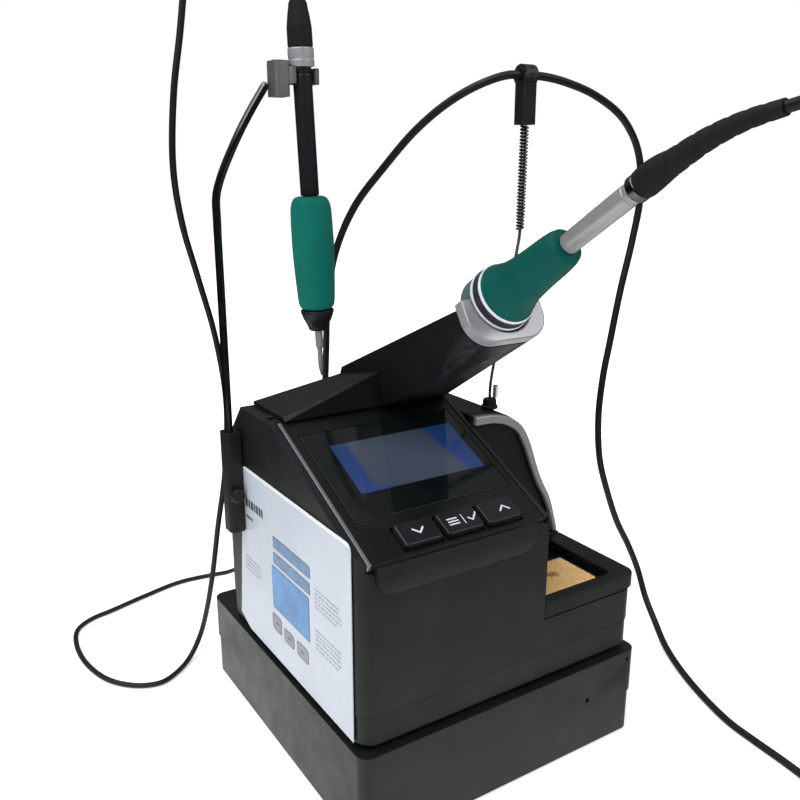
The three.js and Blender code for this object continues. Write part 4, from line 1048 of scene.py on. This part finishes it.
# ------------------------------------------------------------------ cable arm
def arm():
    bm = bmesh.new()
    c = Vector((34.5, -13, 0))
    hexa = round_profile([(0, 151.35), (3.9, 151.35), (3.9, 152.7), (3.3, 152.9)], 0.3, 3)
    lathe_into(bm, hexa + [(3.2, 155.4), (2.9, 155.95), (1.6, 156.0), (0, 156.0)], c, (0, 0, 1), 40, 0, lambda t, h, r: (-0.18 + 0.18 * math.cos(6 * t)) if 153 < h < 155.6 else 0.0)
    o = from_bmesh("arm_socket_body", bm, [MAT["nut"]], angle=40)
    finish_piece(o, "station", ["arm_socket"])

    bend = [(34.5, 156.3), (34.7, 163), (38.3, 182), (43.8, 206), (48.6, 228), (49.2, 232), (49.25, 234.5), (49.8, 279.7)]
    line = catmull([Vector((a, -13, b)) for a, b in bend], 40)
    bm = bmesh.new()
    # inner wire
    cut = [p for p in line if p.z <= 234.5]
    sweep_into(bm, cut, 0.62, 12, 0)
    upper = [p for p in line if p.z >= 234.3]
    sweep_into(bm, upper, 1.25, 12, 0)

    def helix(path, radius, pitch, wire, mat):
        pts, s, prev = [], 0.0, path[0]
        _, u, _ = frame_axes(path[1] - path[0])
        dense = []
        for a, b in zip(path, path[1:]):
            steps = max(1, int((b - a).length / (pitch / 14)))
            for k in range(steps):
                dense.append(a.lerp(b, k / steps))
        dense.append(path[-1])
        for i, p in enumerate(dense):
            t = (dense[min(i + 1, len(dense) - 1)] - dense[max(i - 1, 0)]).normalized()
            u = (u - t * u.dot(t)).normalized()
            w = t.cross(u)
            s += (p - prev).length
            prev = p
            ang = 2 * math.pi * s / pitch
            pts.append(p + u * math.cos(ang) * radius + w * math.sin(ang) * radius)
        sweep_into(bm, pts, wire, 6, mat)

    helix(cut, 0.68, 1.15, 0.26, 0)
    helix(upper, 1.62, 1.45, 0.44, 0)
    o = from_bmesh("arm_spring_body", bm, [MAT["steel_dark"]], angle=60)
    finish_piece(o, "station", ["arm_spring"])
    # bright threaded pin above the nut
    bm = bmesh.new()
    prof = [(0, 156.05)]
    for k in range(18):
        z = 156.1 + k * 0.35
        prof.append((1.25 if k % 2 else 1.02, z))
    prof.append((0, 156.1 + 18 * 0.35))
    lathe_into(bm, prof, Vector((34.6, -13, 0)), (0.02, 0, 1), 24)
    o = from_bmesh("arm_pin_body", bm, [MAT["steel"]], angle=60)
    finish_piece(o, "station")


arm()
refine("arm_clip", MAT["nut"], 0.5, 3)

# ------------------------------------------------------------------ rear sockets
for side, x in (("left", -44), ("right", -6)):
    prof = round_profile([(4.7, -11.9), (6.9, -11.9), (6.9, 0.35), (8.9, 0.35), (8.9, 2.35), (4.7, 2.35), (4.7, -11.9)], 0.3, 3)
    bm = bmesh.new()
    a, u, w = frame_axes((0, 1, 0))
    o0 = Vector((x, 57.5, 78))
    rings = []
    for r, h, *_ in prof[:-1]:
        rings.append([bm.verts.new(V(o0 + a * h + u * math.cos(t) * r + w * math.sin(t) * r)) for t in (2 * math.pi * k / 48 for k in range(48))])
    for i in range(len(rings)):
        p, q = rings[i], rings[(i + 1) % len(rings)]
        for k in range(48):
            j = (k + 1) % 48
            bm.faces.new((p[k], p[j], q[j], q[k]))
    o = from_bmesh("socket_" + side + "_body", bm, [MAT["steel"]], angle=40)
    finish_piece(o, "station", ["socket_" + side])

# ------------------------------------------------------------------ stage: pale floor and soft light
bm = bmesh.new()
for q in ((-3, -3), (3, -3), (3, 3), (-3, 3)):
    bm.verts.new((q[0], q[1], 0))
bm.faces.new(bm.verts)
floor_mat = Mat("floor_pale")
floor_mat.set(Specular_IOR_Level=0.05, Roughness=0.9)
floor_mat.colour(floor_mat.ramp(floor_mat.noise(3, 2), [(0.3, (0.90, 0.90, 0.90)), (0.7, (0.92, 0.92, 0.92))]))
floor_mat.b.inputs["Emission Color"].default_value = (1, 1, 1, 1)
far = floor_mat.t.nodes.new("ShaderNodeVectorMath")
far.operation = "LENGTH"
floor_mat.link(floor_mat.vec, far.inputs[0])
rise = floor_mat.t.nodes.new("ShaderNodeMapRange")
rise.inputs["From Min"].default_value = 0.15
rise.inputs["From Max"].default_value = 0.6
rise.inputs["To Min"].default_value = 0.58
rise.inputs["To Max"].default_value = 1.05
floor_mat.link(far.outputs["Value"], rise.inputs["Value"])
floor_mat.link(rise.outputs[0], floor_mat.b.inputs["Emission Strength"])
floor = from_bmesh("floor", bm, [floor_mat.m], smooth=False)
floor.visible_glossy = False
# what the glossy housings see of the floor: a bright patch round the station, fading outwards
bm = bmesh.new()
rings = [[bm.verts.new((0.02 + math.cos(2 * math.pi * k / 48) * r, 0.05 + math.sin(2 * math.pi * k / 48) * r, -0.0004)) for k in range(48)] for r in (0.05, 0.2, 0.35, 0.5)]
bm.faces.new(rings[0])
for a, b in zip(rings, rings[1:]):
    for k in range(48):
        bm.faces.new((a[k], b[k], b[(k + 1) % 48], a[(k + 1) % 48]))
patch_mat = Mat("floor_patch")
patch_mat.b.inputs["Base Color"].default_value = (0.02, 0.02, 0.02, 1)
patch_mat.b.inputs["Emission Color"].default_value = (1, 1, 1, 1)
px, py, _ = patch_mat.xyz()
side = patch_mat.t.nodes.new("ShaderNodeMapRange")
side.inputs["From Min"].default_value = -0.25
side.inputs["From Max"].default_value = 0.25
side.inputs["To Min"].default_value = 0.55
side.inputs["To Max"].default_value = 1.35
lean = patch_mat.t.nodes.new("ShaderNodeMath")
lean.operation = "SUBTRACT"
patch_mat.link(py, lean.inputs[0])
patch_mat.link(px, lean.inputs[1])
patch_mat.link(lean.outputs[0], side.inputs["Value"])
dist = patch_mat.t.nodes.new("ShaderNodeVectorMath")
dist.operation = "LENGTH"
patch_mat.link(patch_mat.vec, dist.inputs[0])
fade = patch_mat.t.nodes.new("ShaderNodeMapRange")
fade.interpolation_type = "SMOOTHSTEP"
fade.inputs["From Min"].default_value = 0.16
fade.inputs["From Max"].default_value = 0.46
fade.inputs["To Min"].default_value = 1.0
fade.inputs["To Max"].default_value = 0.02
patch_mat.link(dist.outputs["Value"], fade.inputs["Value"])
prod = patch_mat.t.nodes.new("ShaderNodeMath")
prod.operation = "MULTIPLY"
patch_mat.link(side.outputs[0], prod.inputs[0])
patch_mat.link(fade.outputs[0], prod.inputs[1])
patch_mat.link(prod.outputs[0], patch_mat.b.inputs["Emission Strength"])
patch = from_bmesh("floor_patch", bm, [patch_mat.m], smooth=False)
patch.visible_camera = False
patch.visible_diffuse = False
patch.visible_shadow = False

world = bpy.data.worlds.new("world")
bpy.context.scene.world = world
world.use_nodes = True
wt = world.node_tree
wt.nodes.clear()
wo = wt.nodes.new("ShaderNodeOutputWorld")
wb = wt.nodes.new("ShaderNodeBackground")
wb.inputs[0].default_value = (1.0, 1.0, 1.0, 1)
wb.inputs[1].default_value = 1.0
# the backdrop is white, and the soft light that it gives is weaker
soft = wt.nodes.new("ShaderNodeBackground")
soft.inputs[1].default_value = 1.0
wtc = wt.nodes.new("ShaderNodeTexCoord")
wsep = wt.nodes.new("ShaderNodeSeparateXYZ")
wt.links.new(wtc.outputs["Generated"], wsep.inputs[0])
wramp = wt.nodes.new("ShaderNodeValToRGB")
we = wramp.color_ramp.elements
we.new(0.5)
we.new(0.7)
for e, (q, c) in zip(we, ((0.0, 0.02), (0.12, 0.03), (0.45, 0.22), (1.0, 0.42))):
    e.position, e.color = q, (c, c, c, 1)
wt.links.new(wsep.outputs[2], wramp.inputs[0])
wt.links.new(wramp.outputs[0], soft.inputs[0])
path = wt.nodes.new("ShaderNodeLightPath")
wmix = wt.nodes.new("ShaderNodeMixShader")
wt.links.new(path.outputs["Is Camera Ray"], wmix.inputs[0])
wt.links.new(soft.outputs[0], wmix.inputs[1])
wt.links.new(wb.outputs[0], wmix.inputs[2])
wt.links.new(wmix.outputs[0], wo.inputs[0])


def area(name, loc, target, size, energy, colour=(1, 1, 1)):
    d = bpy.data.lights.new(name, "AREA")
    d.shape = "RECTANGLE"
    d.size, d.size_y = size
    d.energy = energy
    d.color = colour
    o = bpy.data.objects.new(name, d)
    bpy.context.scene.collection.objects.link(o)
    o.location = loc
    o.rotation_euler = (Vector(target) - Vector(loc)).to_track_quat("-Z", "Y").to_euler()
    return o


area("light_key", (-0.9, -0.5, 1.1), (0, 0, 0.15), (0.9, 0.9), 7)
area("light_top", (-0.5, 0.3, 1.3), (0, 0, 0.1), (0.9, 0.9), 7)
area("light_front", (0.67, -0.8, 1.05), (0, 0, 0.2), (0.6, 0.6), 4.6)
